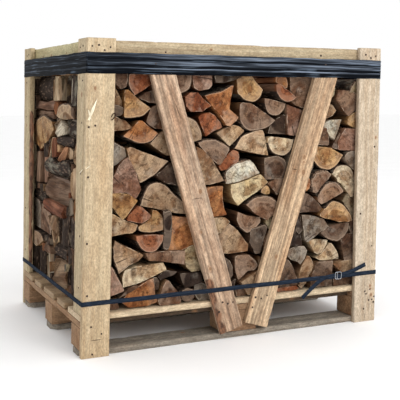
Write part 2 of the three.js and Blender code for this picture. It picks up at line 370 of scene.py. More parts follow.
def end_grain(name="log_end_grain"):
    """Sawn log end: rings round the pith, drying checks from it, saw marks, a pale rim of ripped fibres with a painted
    highlight, and a bark line.
    """
    made, g, shader = material(name, 0.82, specular=0.18)
    grain = g.attribute("grain")
    girth, _, seed = g.split(g.attribute("trait"))
    rim, bark_width, _ = g.split(g.attribute("rim"))
    x, z, _ = g.split(grain)
    shift = seed * 31.0
    flat = g.join(x, z, 0.0)
    spot = g.join(x, z, shift)
    wander = g.noise(spot * (26.0, 26.0, 1.0), 2.0)
    radius = g.length(flat) + wander * 0.02
    share = radius / girth
    angle = g.math("ARCTAN2", z, x)
    broad = g.noise(g.join(radius * 78.0, 0.0, shift), 1.0)
    rings = g.noise(g.join(radius * 330.0, 0.0, shift), 2.0, 0.6)
    cloud = g.noise(spot * (17.0, 17.0, 1.0), 3.0, 0.55, 0.4)
    other = g.noise(spot * (24.0, 24.0, 2.0), 2.0)
    speck = g.noise(spot * (420.0, 420.0, 1.0), 3.0, 0.6)

    # Saw marks are fine lines at each log's own angle.
    turned = g.run("ShaderNodeVectorRotate", {"Vector": flat, "Angle": seed * 40.0}, rotation_type="Z_AXIS")
    marks = g.noise(turned * (9.0, 340.0, 1.0), 2.0)

    tone = g.attribute("tone", "Color")
    deep = tone * linear((186, 164, 148))
    warm = tone * (1.12, 1.02, 0.86, 1.0)
    grey = g.mix(0.55, tone, linear((150, 140, 128)))
    blot = g.noise(spot * (58.0, 58.0, 1.0), 4.0, 0.62, 0.6)
    mottle = g.noise(spot * (190.0, 190.0, 1.0), 3.0, 0.6)
    colour = g.mix(g.span(cloud, 0.4, 0.6), deep, tone)
    colour = g.mix(g.span(other, 0.52, 0.72, 0.0, 0.6), colour, warm)
    colour = g.mix(g.span(other, 0.44, 0.26, 0.0, 0.6), colour, grey)
    soiled = colour * linear((140, 126, 114))
    colour = g.mix(g.span(blot, 0.5, 0.64, 0.0, 0.75), colour, soiled)
    colour *= g.span(mottle, 0.28, 0.72, 0.72, 1.2)
    heart = g.span(share, 0.25, 0.62, 0.32, 0.0)
    colour = g.mix(heart, colour, tone * linear((212, 174, 146)))
    sap = g.mix(0.45, tone * (1.25, 1.25, 1.25, 1.0), linear((196, 172, 150)))
    rough_share = share + (cloud - 0.5) * 0.3
    colour = g.mix(g.span(rough_share, 0.76, 0.86, 0.0, 0.26), colour, sap)
    colour *= g.span(broad, 0.28, 0.72, 0.8, 1.16)
    colour *= g.span(rings, 0.28, 0.72, 0.84, 1.12)
    colour *= g.span(marks, 0.3, 0.7, 0.93, 1.08)
    colour *= g.span(speck, 0.3, 0.7, 0.88, 1.1)

    # Drying checks: dark rays that widen outwards.
    ray = g.noise(g.join(angle * 5.2, radius * 4.0, shift), 1.0)
    ray = abs(ray - 0.5)
    reach = g.noise(g.join(angle * 1.4, 7.0, shift), 0.0)
    thin = g.span(reach, 0.5, 0.7) * g.span(share, 0.06, 0.5)
    check = g.span(ray, 0.004, 0.013, 1.0, 0.0) * thin
    colour = g.mix(check * 0.85, colour, linear((44, 28, 18)))

    # Split edges stand pale where the fibres tore, lightened further as a painted highlight along the edge, and bark
    # edges have a pale line and then the dark bark.
    tear = g.noise(spot * (120.0, 120.0, 1.0), 2.0)
    edge = rim + (tear - 0.5) * 0.006
    pale = g.mix(0.5, tone * (1.35, 1.3, 1.25, 1.0), linear((226, 208, 184)))
    torn_fibre_highlight = g.span(g.noise(spot * (34.0, 34.0, 5.0), 2.0), 0.5, 0.6)
    colour = g.mix(g.span(edge, 0.0006, 0.0024, 0.6, 0.0) * torn_fibre_highlight, colour, pale)
    into = rim - bark_width
    line = abs(into - 0.0012)
    seen = g.math("GREATER_THAN", bark_width, 0.0006)
    colour = g.mix(g.span(line, 0.0006, 0.0018, 0.4, 0.0) * seen, colour, pale)
    crust = g.noise(spot * (160.0, 160.0, 1.0), 3.0, 0.6)
    rind = g.mix(g.span(crust, 0.35, 0.7), linear((44, 31, 24)), linear((124, 100, 80)))
    inside = g.span(into, -0.0012, 0.0004, 1.0, 0.0) * seen
    colour = g.mix(inside, colour, rind)

    height = speck * 0.4 + rings * 0.3 + marks * 0.35 - check * 1.6
    g.surface(shader, colour, height, 0.0014, 0.8)
    return made


def split_face(name="log_split_face"):
    """Split side of a log: long ripped fibres with deep steps and streaks of stain."""
    made, g, shader = material(name, 0.85, specular=0.16)
    grain = g.attribute("grain")
    _, _, seed = g.split(g.attribute("trait"))
    x, z, along = g.split(grain)
    spot = g.join(x, z, along + seed * 13.0)
    fibre = g.noise(spot * (420.0, 420.0, 13.0), 4.0, 0.65)
    steps = g.noise(spot * (95.0, 95.0, 7.0), 3.0, 0.6)
    cloud = g.noise(spot * (18.0, 18.0, 6.0), 3.0)
    tone = g.attribute("tone", "Color")
    deep = tone * linear((172, 146, 124))
    colour = g.mix(g.span(cloud, 0.36, 0.66), deep, tone * linear((246, 236, 222)))
    colour *= g.span(fibre, 0.25, 0.75, 0.6, 1.28)
    colour *= g.span(steps, 0.3, 0.7, 0.62, 1.25)
    height = steps * 0.7 + fibre * 0.3
    g.surface(shader, colour, height, 0.006, 0.8)
    return made


def bark_skin(name="log_bark"):
    """Bark: ridged plates with dark furrows, and grey-green lichen on some logs."""
    made, g, shader = material(name, 0.9, specular=0.15)
    grain = g.attribute("grain")
    _, _, seed = g.split(g.attribute("trait"))
    x, z, along = g.split(grain)
    spot = g.join(x, z, along + seed * 13.0)
    warp = g.noise(spot * (60.0, 60.0, 22.0), 2.0)
    bent = spot * (110.0, 110.0, 34.0) + g.join(warp, warp, warp)
    plates = g.cells(bent) + g.span(g.noise(bent, 2.0, scale=0.7), 0.35, 0.7, 0.0, 0.3)
    crumb = g.noise(spot * (300.0, 300.0, 110.0), 4.0, 0.65)
    lichen = g.noise(spot * (34.0, 34.0, 16.0), 4.0, 0.65)
    colour = g.mix(g.span(plates, 0.15, 0.62), linear((112, 92, 77)), linear((50, 39, 32)))
    colour *= g.span(crumb, 0.25, 0.75, 0.66, 1.3)
    amount = g.span(lichen, 0.48, 0.68) * g.span(seed, 0.45, 0.9, 0.05, 0.8)
    colour = g.mix(amount, colour, linear((134, 128, 113)))
    height = crumb * 0.35 - plates * 0.8
    g.surface(shader, colour, height, 0.005, 0.9)
    return made


def stretch_film(name, colour):
    """Black stretch film: glossy, with thin pulled creases along the band, a little dust on them and painted
    reflections in streaks and bands.
    """
    made, g, shader = material(name, 0.25, specular=0.003)
    along, up, _ = g.split(g.attribute("band"))
    crease = g.noise(g.join(along * 5.0, up * 300.0, 0.0), 3.0)
    streak = g.noise(g.join(along * 4.0, up * 210.0, 3.0), 3.0, 0.6)
    patch = g.noise(g.join(along * 11.0, up * 26.0, 9.0), 2.0)
    # Dust along the streaks, lightened towards blue-grey as a painted reflection.
    dust_and_sheen = g.span(streak, 0.52, 0.66) * g.span(patch, 0.38, 0.62)
    base = g.mix(dust_and_sheen * 0.62, tuple(colour), linear((104, 118, 134)))

    # Painted reflections of the pulled folds, in three bands: along the top, across the middle and in a thin line near
    # the foot.
    # The painted reflections fade out towards the left end.
    x, _, _ = g.split(g.place())
    drift = g.noise(g.join(along * 2.2, 0.0, 5.0), 2.0)
    level = up + (drift - 0.5) * 0.016
    line = g.span(abs(level - 0.019), 0.0012, 0.0042, 0.95, 0.0)
    middle = g.span(abs(level - 0.04), 0.003, 0.011, 0.6, 0.0)
    rim = g.span(level, 0.053, 0.059, 0.0, 0.6)
    painted_sheen = g.math("MAXIMUM", line, g.math("MAXIMUM", middle, rim))
    painted_sheen *= g.span(streak, 0.42, 0.62, 0.12, 1.0)
    painted_sheen *= g.span(x, -0.56, -0.1, 0.22, 1.0)
    # Painted reflection: the bands lighten the film towards pale blue-grey.
    base = g.mix(painted_sheen * 0.8, base, linear((148, 160, 178)))
    g.surface(shader, base, crease, 0.0014, 0.7)
    return made


def woven_strap(name, colour):
    """Blue-black strapping with an embossed lattice."""
    made, g, shader = material(name, 0.4, specular=0.003)
    place = g.place()
    along = g.attribute("along", "Fac")
    _, _, up = g.split(place)
    left = g.math("SINE", (along + up) * 2100.0)
    right = g.math("SINE", (along - up) * 2100.0)
    lattice = left * right
    scuff = g.noise(g.join(along * 30.0, up * 240.0, 0.0), 4.0, 0.6)
    base = g.mix(g.span(scuff, 0.45, 0.75, 0.0, 0.5), tuple(colour), linear((70, 82, 100)))
    base *= g.span(lattice, -1.0, 1.0, 0.72, 1.25)
    g.surface(shader, base, lattice, 0.0003, 0.7)
    return made


def plain_steel(name, colour, roughness, metallic=1.0):
    """Bare steel with a little uneven wear."""
    made, g, shader = material(name, roughness, metallic=metallic)
    place = g.place()
    wear = g.noise(place * (300.0, 300.0, 300.0), 3.0)
    dull = tuple(0.55 * part for part in tuple(colour)[:3]) + (1.0,)
    g.surface(shader, g.mix(g.span(wear, 0.35, 0.7), dull, tuple(colour)), wear, 0.0002, 0.4)
    return made


# ---------------------------------------------------------------- boards

BOARD_ATTRIBUTES = {
    "grain": "FLOAT_VECTOR",
    "knot": "FLOAT_VECTOR",
    "crack": "FLOAT_VECTOR",
    "tint": "FLOAT_COLOR",
    "edge": "FLOAT",
    "wane": "FLOAT",
}


def lattice_lines(size, step, soft):
    """Places of the lattice lines along one side of a board, closest at its rounded edges."""
    inner = max(1, round((size - 2 * soft) / step))
    return np.concatenate(([0.0], np.linspace(soft, size - soft, inner + 1), [size]))


def lattice_faces(index):
    """Outward quads on the six sides of a block of lattice points."""
    faces = []

    def side(grid, flip):
        a, b, c, d = grid[:-1, :-1], grid[1:, :-1], grid[1:, 1:], grid[:-1, 1:]
        quads = np.stack([a, d, c, b] if flip else [a, b, c, d], axis=-1).reshape(-1, 4)
        faces.extend(map(tuple, quads.tolist()))

    side(index[-1], False)
    side(index[0], True)
    side(index[:, -1].T, False)
    side(index[:, 0].T, True)
    side(index[:, :, -1], False)
    side(index[:, :, 0], True)
    return faces


def nearest_flaw(u, v, knots):
    """For each point, its place relative to the nearest knot, in knot radii, and how far off it is."""
    best = np.full((len(u), 3), 40.0)
    near = np.full(len(u), 1e9)
    for along, across, radius in knots:
        du = (u - along * MM) / (radius * MM * 1.35)
        dv = (v - across * MM) / (radius * MM)
        reach = np.hypot(du, dv)
        closer = reach < near
        near[closer] = reach[closer]
        away = np.clip((reach - 3.5) * 6.0, 0.0, 12.0)
        best[closer] = np.stack([du, dv, away], axis=-1)[closer]
    return best


def nearest_crack(u, v, cracks):
    """For each point, its place along the nearest crack, its offset in half widths, and how far off it is."""
    best = np.tile((0.0, 60.0, 9.0), (len(u), 1))
    near = np.full(len(u), 1e9)
    for u0, v0, u1, v1, width in cracks:
        start = np.array([u0, v0]) * MM
        run = (np.array([u1, v1]) * MM) - start
        length = np.hypot(*run)
        pu, pv = u - start[0], v - start[1]
        t = (pu * run[0] + pv * run[1]) / length**2 * 2 - 1
        off = (pu * run[1] - pv * run[0]) / length / (width * MM / 2)
        reach = np.hypot(off * width * MM / 2, np.maximum(0, np.abs(t) - 1) * length / 2)
        closer = reach < near
        near[closer] = reach[closer]
        away = np.clip((reach - 0.03) * 200.0, 0.0, 9.0)
        best[closer] = np.stack([np.clip(t, -3, 3), off, away], axis=-1)[closer]
    return best


def add_board(heap, corner, axes, size, seed, slot=0, **looks):
    """Add one board. Axes point along its length, across its width and out of its show face.

    Looks are knots (along, across, radius), cracks (from, to, width), wanes (side, from, to, depth), all in
    millimetres from the corner, a tint, the plan cut at the ends, and the pith's place.
    """
    chance = np.random.default_rng(seed)
    length, width, thick = size
    soft = looks.get("soft", 2.2) * MM
    step = looks.get("step", 12.0) * MM
    us = lattice_lines(length, step, soft)
    vs = lattice_lines(width, min(step, width / 5), soft)
    ws = lattice_lines(thick, max(step, thick / 4), soft)
    grid = np.stack(np.meshgrid(us, vs, ws, indexing="ij"), axis=-1)
    nu, nv, nw = grid.shape[:3]
    i, j, k = np.meshgrid(range(nu), range(nv), range(nw), indexing="ij")
    ends = [(i == 0) | (i == nu - 1), (j == 0) | (j == nv - 1), (k == 0) | (k == nw - 1)]
    skin = ends[0] | ends[1] | ends[2]
    index = np.full(skin.shape, -1)
    index[skin] = np.arange(skin.sum())
    points = grid[skin]
    at_end = np.stack([part[skin] for part in ends], axis=-1)
    u, v, w = points.T.copy()
    reach = np.stack([np.minimum(u, length - u), np.minimum(v, width - v), np.minimum(w, thick - w)], axis=-1)
    edge = np.sort(reach, axis=-1)[:, 1]
    middle = np.array(size) / 2

    # Rounded edges: a point on two or three sides at once moves in.
    count = at_end.sum(axis=-1)
    pull = np.where(count >= 2, 0.29 + 0.12 * (count == 3), 0.0) * soft
    inward = np.sign(middle - points) * at_end
    points = points + inward * pull[:, None]

    # Saw wander, dents and chips, all of which only take wood away.
    phase = chance.uniform(0, 6.28, 8)
    wander = 0.5 + 0.25 * (np.sin(u * 19 + phase[0]) + np.sin(u * 43 + phase[1]))
    points[:, 1] += inward[:, 1] * wander * looks.get("wander", 0.9) * MM
    cup = 0.5 + 0.5 * np.sin(u * 7 + phase[2]) * np.cos(v * 30 + phase[3])
    points[:, 2] += inward[:, 2] * cup * 0.5 * MM
    for _ in range(looks.get("chips", 7)):
        at, deep = chance.uniform(0, length), chance.uniform(1.0, 3.4) * MM
        span = chance.uniform(6, 22) * MM
        top = chance.random() < 0.5
        near = np.exp(-(((u - at) / span) ** 2)) * (edge < 1.2 * soft) * ((v < width / 2) == top)
        points += inward * (near * deep * 0.6)[:, None]

    # A wane is a bark edge of the tree that the saw didn't reach.
    wane = np.zeros(len(u))
    for side, start, end, deep, reach_in in looks.get("wanes", ()):
        fade = np.clip((u - start * MM) / 0.05, 0, 1) * np.clip((end * MM - u) / 0.05, 0, 1)
        fade = fade * (0.75 + 0.25 * np.sin(u * 33 + phase[4]) * np.sin(u * 71 + phase[5]))
        from_edge = v if side < 0 else width - v
        slope = np.clip(1 - from_edge / (reach_in * MM), 0, 1) * fade
        front = w > thick * 0.55
        points[:, 2] -= np.where(front, slope * deep * MM, 0.0)
        points[:, 1] += np.where(from_edge < 2 * soft, -side * slope * deep * 0.5 * MM, 0.0)
        wane = np.maximum(wane, slope * np.where(front, 1.0, 0.4))

    # Ends cut back in plan, as on a pallet's bottom boards.
    cut = looks.get("plan_cut", 0.0) * MM
    if cut:
        trim = np.clip(cut - np.minimum(v, width - v), 0, None)
        slide = trim * np.clip(1 - np.minimum(u, length - u) / (2 * cut), 0, 1)
        points[:, 0] += np.where(u < length / 2, slide, -slide)

    pith = looks.get("pith", (chance.uniform(-0.9, 0.9) * width, -chance.uniform(0.3, 1.6) * width))
    grain = np.stack([v - width / 2 - pith[0], w - pith[1], u + seed * 3.71], axis=-1)
    knots = list(looks.get("knots", ()))
    for _ in range(looks.get("stray_knots", 1)):
        at, across = chance.uniform(0.1, 0.9) * length, chance.uniform(0.2, 0.8) * width
        knots.append((at / MM, across / MM, chance.uniform(3, 6)))
    values = {
        "grain": grain,
        "knot": nearest_flaw(u, v, knots),
        "crack": nearest_crack(u, v, looks.get("cracks", ())),
        "tint": repeat(tuple(looks.get("tint", (1, 1, 1))) + (1,), len(u)),
        "edge": edge[:, None],
        "wane": wane[:, None],
    }
    axes = np.array(axes, dtype=float)
    world = np.array(corner) + points @ axes
    faces = lattice_faces(index)
    if np.linalg.det(axes) < 0:
        faces = [face[::-1] for face in faces]
    heap.add(world, faces, [slot] * len(faces), values)


AXIS = {"x": (1, 0, 0), "y": (0, 1, 0), "z": (0, 0, 1), "-x": (-1, 0, 0), "-y": (0, -1, 0), "-z": (0, 0, -1)}


def board_from_node(name, along, across, out, seed, finish, slot, **looks):
    """A detailed board in the place of a packed one, with its show face turned to the out axis."""
    low, high = node_box(name)
    axes = [np.array(AXIS[key], dtype=float) for key in (along, across, out)]
    size = [abs((high - low) @ axis) for axis in axes]
    corner = np.where(sum(axes) > 0, low, high)
    heap = Heap(BOARD_ATTRIBUTES)
    add_board(heap, corner, axes, size, seed, **looks)
    made = heap.piece(name + "_sawn", [finish])
    return settle(made, slot, name)


def rack(piece):
    """Lean the left end a little to the right, as the knocked-about crate does, most at the front."""
    count = len(piece.data.vertices)
    places = np.empty(count * 3)
    piece.data.vertices.foreach_get("co", places)
    places = places.reshape(-1, 3)
    x, y, z = places.T
    share = np.clip((x - LEAN_FROM) / (LEAN_WHOLE - LEAN_FROM), 0.0, 1.0)
    share = share * share * (3 - 2 * share) * (0.84 - 0.16 * y / CAD_BOX[1][1])
    places[:, 0] += share * (LEAN_FOOT + (LEAN_TOP - LEAN_FOOT) * z / CAD_BOX[1][2])
    piece.data.vertices.foreach_set("co", places.ravel())
    piece.data.update()


def settle(piece, slot, *nodes):
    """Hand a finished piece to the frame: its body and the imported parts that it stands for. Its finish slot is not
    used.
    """
    rack(piece)
    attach(piece, BODY)
    if nodes:
        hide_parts(*nodes)
    return piece


# ---------------------------------------------------------------- logs

LOG_ATTRIBUTES = {
    "grain": "FLOAT_VECTOR",
    "trait": "FLOAT_VECTOR",
    "rim": "FLOAT_VECTOR",
    "tone": "FLOAT_COLOR",
}

# Log ends seen on the long side: tone, corners as "x,z" in millimetres, then for a log with bark the run of
# corners that is bark and the bark's thickness. Listed from the left post to the right one, and from the top down.
LOG_ENDS = [
    ("umber", "-572,955 -572,944 -500,930 -470,905 -450,915 -446,955"),
    ("rust", "-438,955 -436,915 -413,882 -350,917 -330,935 -335,955", (0, 2), 3),
    ("umber", "-400,873 -372,892 -345,900 -325,870 -328,855 -360,860"),
    ("honey", "-456,900 -443,901 -415,880 -350,838 -378,815 -410,807 -455,805", (3, 6), 3),
    ("tan", "-572,938 -520,930 -490,912 -460,865 -458,845 -495,852 -572,856"),
    ("walnut", "-572,850 -488,849 -457,840 -455,827 -470,814 -572,812", (0, 2), 3),
    ("tan", "-572,802 -530,803 -485,808 -450,796 -421,771 -450,765 -572,763"),
    ("amber", "-397,797 -383,795 -322,752 -352,724 -395,719 -435,734 -458,744 -425,770", (2, 6), 3),
    ("clay", "-348,838 -328,848 -285,843 -262,800 -268,768 -322,767 -352,780 -364,790"),
    ("tan", "-346,716 -318,745 -295,760 -262,755 -240,720 -245,680 -283,674 -300,686"),
    ("ash", "-572,742 -530,735 -489,723 -447,703 -441,675 -488,642 -530,630 -572,628", (0, 3), 3),
    ("tan", "-438,700 -425,706 -352,680 -279,655 -328,611 -350,598 -387,580 -400,617 -428,662", (3, 6), 3),
    ("rose", "-436,668 -425,652 -404,612 -385,560 -405,529 -425,545 -445,554 -572,558 -572,605 -488,603"
     " -470,640 -452,660"),
    ("walnut", "-326,608 -275,648 -255,650 -215,640 -205,590 -240,567 -290,578"),
    ("tan", "-382,502 -373,531 -352,570 -320,581 -290,573 -255,540 -220,508 -200,464 -250,470"
     " -320,488", (0, 6), 4),
    ("honey", "-572,548 -530,545 -470,548 -432,543 -399,521 -437,473 -452,460 -486,503 -530,515 -572,520"),
    ("rust", "-400,503 -384,501 -347,468 -351,457 -380,442 -437,456 -432,472"),
    ("honey", "-338,486 -320,481 -300,458 -273,430 -295,414 -345,407 -385,414 -394,427 -350,453"
     " -341,466", (3, 7), 3),
    ("sand", "-572,470 -530,470 -485,475 -440,452 -395,436 -402,417 -415,409 -455,409 -530,402 -572,398"),
    ("amber", "-262,460 -205,452 -165,440 -130,400 -130,350 -178,350 -225,333 -275,331 -268,380", (1, 4), 3),
    ("soot", "-300,480 -270,478 -268,400 -280,345 -300,350 -296,400", (0, 5), 4),
    ("rust", "-400,398 -350,399 -296,396 -300,372 -325,342 -350,338 -376,348 -395,375", (2, 7), 3),
    ("umber", "-572,394 -530,396 -492,385 -488,350 -492,326 -530,328 -572,330"),
    ("tan", "-477,388 -450,370 -372,331 -392,310 -425,299 -461,272 -480,318 -484,355", (5, 7), 4),
    ("cream", "-440,283 -400,292 -330,297 -298,298 -286,272 -340,251 -400,231 -446,224 -449,260"),
    ("soot", "-318,250 -290,268 -243,260 -255,250 -307,236"),
    ("clay", "-365,336 -310,338 -217,335 -219,286 -248,293 -300,303 -350,308"),
    ("straw", "-214,330 -195,345 -165,350 -140,300 -150,255 -183,253 -205,275"),
    ("soot", "-232,253 -150,250 -145,215 -195,202 -215,203 -225,225"),
    ("rose", "-572,325 -530,320 -491,297 -470,262 -443,214 -488,202 -530,200 -572,202", (0, 4), 3),
    ("umber", "-462,188 -425,221 -398,228 -389,221 -418,206"),
    ("amber", "-448,170 -425,205 -385,222 -350,241 -333,244 -326,187 -317,160 -355,149 -420,149"),
    ("walnut", "-332,246 -315,244 -308,228 -312,203 -325,200"),
    ("clay", "-318,165 -298,215 -285,235 -276,231 -243,190 -229,160 -234,146 -300,146 -312,148"),
    ("clay", "-572,182 -530,172 -462,168 -456,150 -462,145 -572,145"),
    ("ash", "-172,205 -150,214 -128,204 -108,175 -112,146 -135,145 -155,147 -170,170", (0, 4), 3),
    ("clay", "-300,955 -290,905 -262,885 -240,888 -205,905 -195,930 -195,955", (2, 6), 3),
    ("rose", "-188,955 -190,945 -182,910 -160,900 -125,907 -113,918 -112,955"),
    ("walnut", "-102,955 -98,930 -60,930 -20,940 10,950 8,955"),
    ("amber", "-139,883 -132,887 -70,903 -36,921 -26,924 -38,876 -45,828 -8,807 -18,793 -40,775 -57,778"
     " -75,806 -118,852", (0, 4), 4),
    ("rust", "-218,878 -198,893 -168,894 -150,875 -115,848 -150,827 -195,826 -214,845"),
    ("rust", "-160,806 -148,817 -115,823 -97,814 -76,792 -64,770 -100,756 -130,738 -137,755"),
    ("tan", "-235,800 -215,810 -195,805 -175,793 -160,770 -151,745 -153,728 -175,722 -200,720"
     " -235,735", (1, 5), 3),
    ("sand", "-88,750 -50,768 -20,778 5,771 22,756 -36,701 -70,733"),
    ("clay", "-166,718 -145,726 -105,729 -73,716 -41,696 -58,668 -80,636 -92,640 -137,682 -160,706", (0, 4), 5),
    ("clay", "0,852 10,860 45,857 110,818 149,794 120,771 85,761 42,757 14,772 2,790 -2,820", (4, 9), 3),
    ("honey", "-10,955 -5,895 4,883 22,869 45,862 66,863 88,878 99,905 64,940 55,955", (2, 7), 3),
    ("sand", "-17,693 8,733 50,752 98,762 104,750 126,664 50,678", (0, 3), 3),
    ("clay", "108,876 198,856 192,835 170,815 145,812 120,824 109,850", (1, 6), 3),
    ("cream", "116,728 130,735 225,722 222,695 205,672 185,663 155,667 130,683 118,706", (2, 8), 3),
    ("tan", "-175,705 -148,692 -112,657 -88,618 -62,578 -122,566 -150,566 -172,640"),
    ("rust", "-79,630 -62,645 -40,675 -20,688 0,680 4,662 0,645 -45,618 -68,614"),
    ("stone", "-50,566 -57,590 -50,612 -28,632 0,645 25,650 47,652 70,630 91,600 42,582 0,571", (0, 6), 9),
    ("straw", "-31,562 2,567 42,578 90,596 121,567 105,550 42,513 -2,484 -25,515 -33,545"),
    ("amber", "-135,553 -60,557 -60,510 -55,480 -42,453 -55,449 -100,446 -140,450"),
    ("sand", "-125,443 -55,443 -36,427 -71,387 -120,390"),
    ("clay", "29,487 58,508 100,517 132,511 155,495 178,470 165,448 128,437 118,424 65,453", (0, 5), 4),
    ("clay", "0,460 42,443 95,436 96,418 82,402 58,385 35,382 10,400 -3,430", (2, 7), 3),
    ("tan", "-75,385 -37,420 -2,393 30,354 45,338 43,312 -30,309 -60,312 -90,350"),
    ("clay", "-8,293 0,298 50,297 75,276 86,256 72,238 42,238 5,208 -6,235 -10,262", (2, 5), 3),
    ("tan", "12,200 62,228 90,238 98,200 95,160 40,150"),
    ("walnut", "55,395 120,405 110,350 95,300 75,300 50,345", (0, 2), 3),
    ("umber", "105,655 165,662 195,645 203,620 198,575 108,576", (1, 4), 3),
    ("clay", "122,560 150,575 190,577 175,530 162,515 135,548"),
    ("rose", "200,852 285,825 268,745 228,736 203,742"),
    ("walnut", "128,745 135,775 160,800 190,815 197,812 199,742"),
    ("rust", "150,925 160,930 200,905 237,880 222,868 195,862 170,872 152,895", (3, 7), 3),
    ("amber", "157,955 157,935 172,926 205,912 208,935 200,955", (2, 5), 3),
    ("clay", "215,955 218,870 240,850 270,840 290,842 312,880 320,955"),
    ("clay", "-5,172 60,178 70,146 0,146"),
    ("clay", "422,908 470,907 500,900 525,880 525,850 476,809 455,825 414,871"),
    ("olive", "478,900 482,920 494,936 512,946 540,946 560,930 566,900 540,882 530,878 500,903", (0, 7), 7),
    ("sand", "352,862 404,852 424,830 409,811 384,800 350,806"),
    ("stone", "360,772 395,793 449,795 441,770 418,717 395,733 380,762"),
    ("clay", "335,704 345,740 373,766 384,762 392,735 396,700 390,696 345,700"),
    ("rose", "464,760 500,756 572,750 572,682 528,680 436,681 432,710 447,738"),
    ("umber", "403,688 418,712 440,745 445,735 431,708 433,682"),
    ("honey", "318,700 345,692 400,687 458,658 451,649 427,618 400,604 378,604 353,611 325,638"
     " 312,665", (3, 9), 3),
    ("ash", "463,650 475,668 528,672 572,670 572,600 528,600 505,605 489,618 470,635", (0, 3), 3),
    ("cream", "407,587 415,604 433,616 464,620 489,611 504,593 512,565 510,520 502,493 493,495 471,522"
     " 447,549 431,556 428,567", (0, 5), 3),
    ("clay", "318,520 308,545 311,570 325,592 350,603 378,602 402,584 382,562 371,553 351,535 342,520"
     " 333,515", (0, 5), 10),
    ("clay", "343,500 362,533 388,553 416,556 440,548 464,518 455,511 400,487 360,471 345,485", (0, 5), 6),
    ("umber", "293,516 304,511 335,490 367,456 349,441 266,443 255,470 270,505"),
    ("honey", "351,427 353,436 373,453 400,478 427,480 460,465 482,443 500,418 508,391 493,396 444,398"
     " 404,411 364,420", (2, 8), 3),
    ("ash", "269,435 302,433 344,421 367,415 391,384 351,363 302,330 293,331 284,343 280,378 273,418"),
    ("soot", "248,436 266,438 271,410 277,375 262,360 250,380"),
    ("umber", "356,360 371,373 404,386 449,392 488,392 488,369 473,347 455,331 433,323 400,331"
     " 378,342", (4, 10), 4),
    ("cream", "309,333 330,336 398,329 393,313 371,280 353,276 338,285 324,302"),
    ("cream", "345,262 371,276 391,298 407,316 416,316 424,309 440,289 453,264 451,251 400,249"
     " 367,251", (3, 7), 3),
    ("umber", "453,345 490,347 572,340 572,246 525,245 489,238 476,243 462,295"),
    ("tan", "422,233 449,239 475,241 507,242 572,241 572,193 525,193 471,191 455,207"),
    ("umber", "338,238 345,247 418,247 416,190 414,150 318,150 318,187 335,220"),
    ("tan", "302,272 316,271 333,247 336,229 324,207 311,187 304,165 280,155 269,187 271,207 284,240"),
    ("ash", "212,302 249,313 291,312 304,295 293,262 276,242 260,255 233,264 213,282"),
    ("umber", "150,170 160,230 190,262 211,269 222,264 242,235 250,213 262,189 262,166 180,163"),
    ("rust", "170,160 256,163 266,150 240,146 170,146"),
    ("tan", "264,165 293,165 279,150"),
    ("soot", "240,386 266,386 276,340 281,317 228,317 222,350"),
    ("olive", "480,505 515,500 572,495 572,402 512,400 500,430 480,455 462,478", (0, 6), 4),
    ("walnut", "494,396 572,397 572,350 500,350 492,372"),
    ("clay", "516,596 572,596 572,505 512,508 514,560"),
    ("umber", "430,176 455,188 572,188 572,146 430,146"),
]


def curve_through(points, step):
    """Points at even spacing along a smooth curve through the given ones."""
    points = np.asarray(points, dtype=float)
    padded = np.vstack([2 * points[0] - points[1], points, 2 * points[-1] - points[-2]])
    made = []
    for a, b, c, d in zip(padded[:-3], padded[1:-2], padded[2:-1], padded[3:]):
        count = max(1, round(np.linalg.norm(c - b) / step))
        t = (np.arange(count) / count)[:, None]
        made.append(0.5 * (2 * b + (c - a) * t + (2 * a - 5 * b + 4 * c - d) * t**2 + (3 * b - a - 3 * c + d) * t**3))
    return np.vstack(made + [points[-1:]])


def log_outline(corners, bark, chance, step=6.0):
    """A log's outline in even steps with a bark flag for each point, anticlockwise as seen from -Y."""
    corners = np.asarray(corners, dtype=float)
    count = len(corners)
    x, z = corners.T
    area = np.sum(x * np.roll(z, -1) - np.roll(x, -1) * z)
    first, last = bark if bark else (0, -1)
    if area < 0:
        corners = corners[::-1]
        first, last = (count - 1 - last, count - 1 - first) if bark else (0, -1)
    points, flags = [], []
    at = first
    if bark:
        run = curve_through(corners[first : last + 1], step)
        points.append(run[:-1])
        flags.append(np.ones(len(run) - 1))
        at = last
    for i in range(count - (last - first if bark else 0)):
        start, end = corners[(at + i) % count], corners[(at + i + 1) % count]
        length = np.linalg.norm(end - start)
        pieces = max(1, round(length / step))
        t = (np.arange(pieces) / pieces)[:, None]
        side = np.array([end[1] - start[1], start[0] - end[0]]) / max(length, 1e-6)
        bulge = chance.uniform(-0.02, 0.02) * length * np.sin(t * math.pi)
        tooth = chance.uniform(-0.7, 0.7, (pieces, 1)) * (t > 0)
        points.append(start + (end - start) * t + side * (bulge + tooth))
        flags.append(np.zeros(pieces))
    points, flags = np.vstack(points), np.concatenate(flags)
    soft = np.where(flags > 0.5, 0.2, 0.05)[:, None]
    points = (1 - 2 * soft) * points + soft * (np.roll(points, 1, axis=0) + np.roll(points, -1, axis=0))
    return points, flags


def circle_centre(a, b, c):
    """Centre and radius of the circle through three points."""
    (ax, az), (bx, bz), (cx, cz) = a, b, c
    d = 2 * (ax * (bz - cz) + bx * (cz - az) + cx * (az - bz))
    if abs(d) < 1e-3:
        return None, 1e9
    sa, sb, sc = ax * ax + az * az, bx * bx + bz * bz, cx * cx + cz * cz
    x = (sa * (bz - cz) + sb * (cz - az) + sc * (az - bz)) / d
    z = (sa * (cx - bx) + sb * (ax - cx) + sc * (bx - ax)) / d
    return np.array([x, z]), math.hypot(ax - x, az - z)


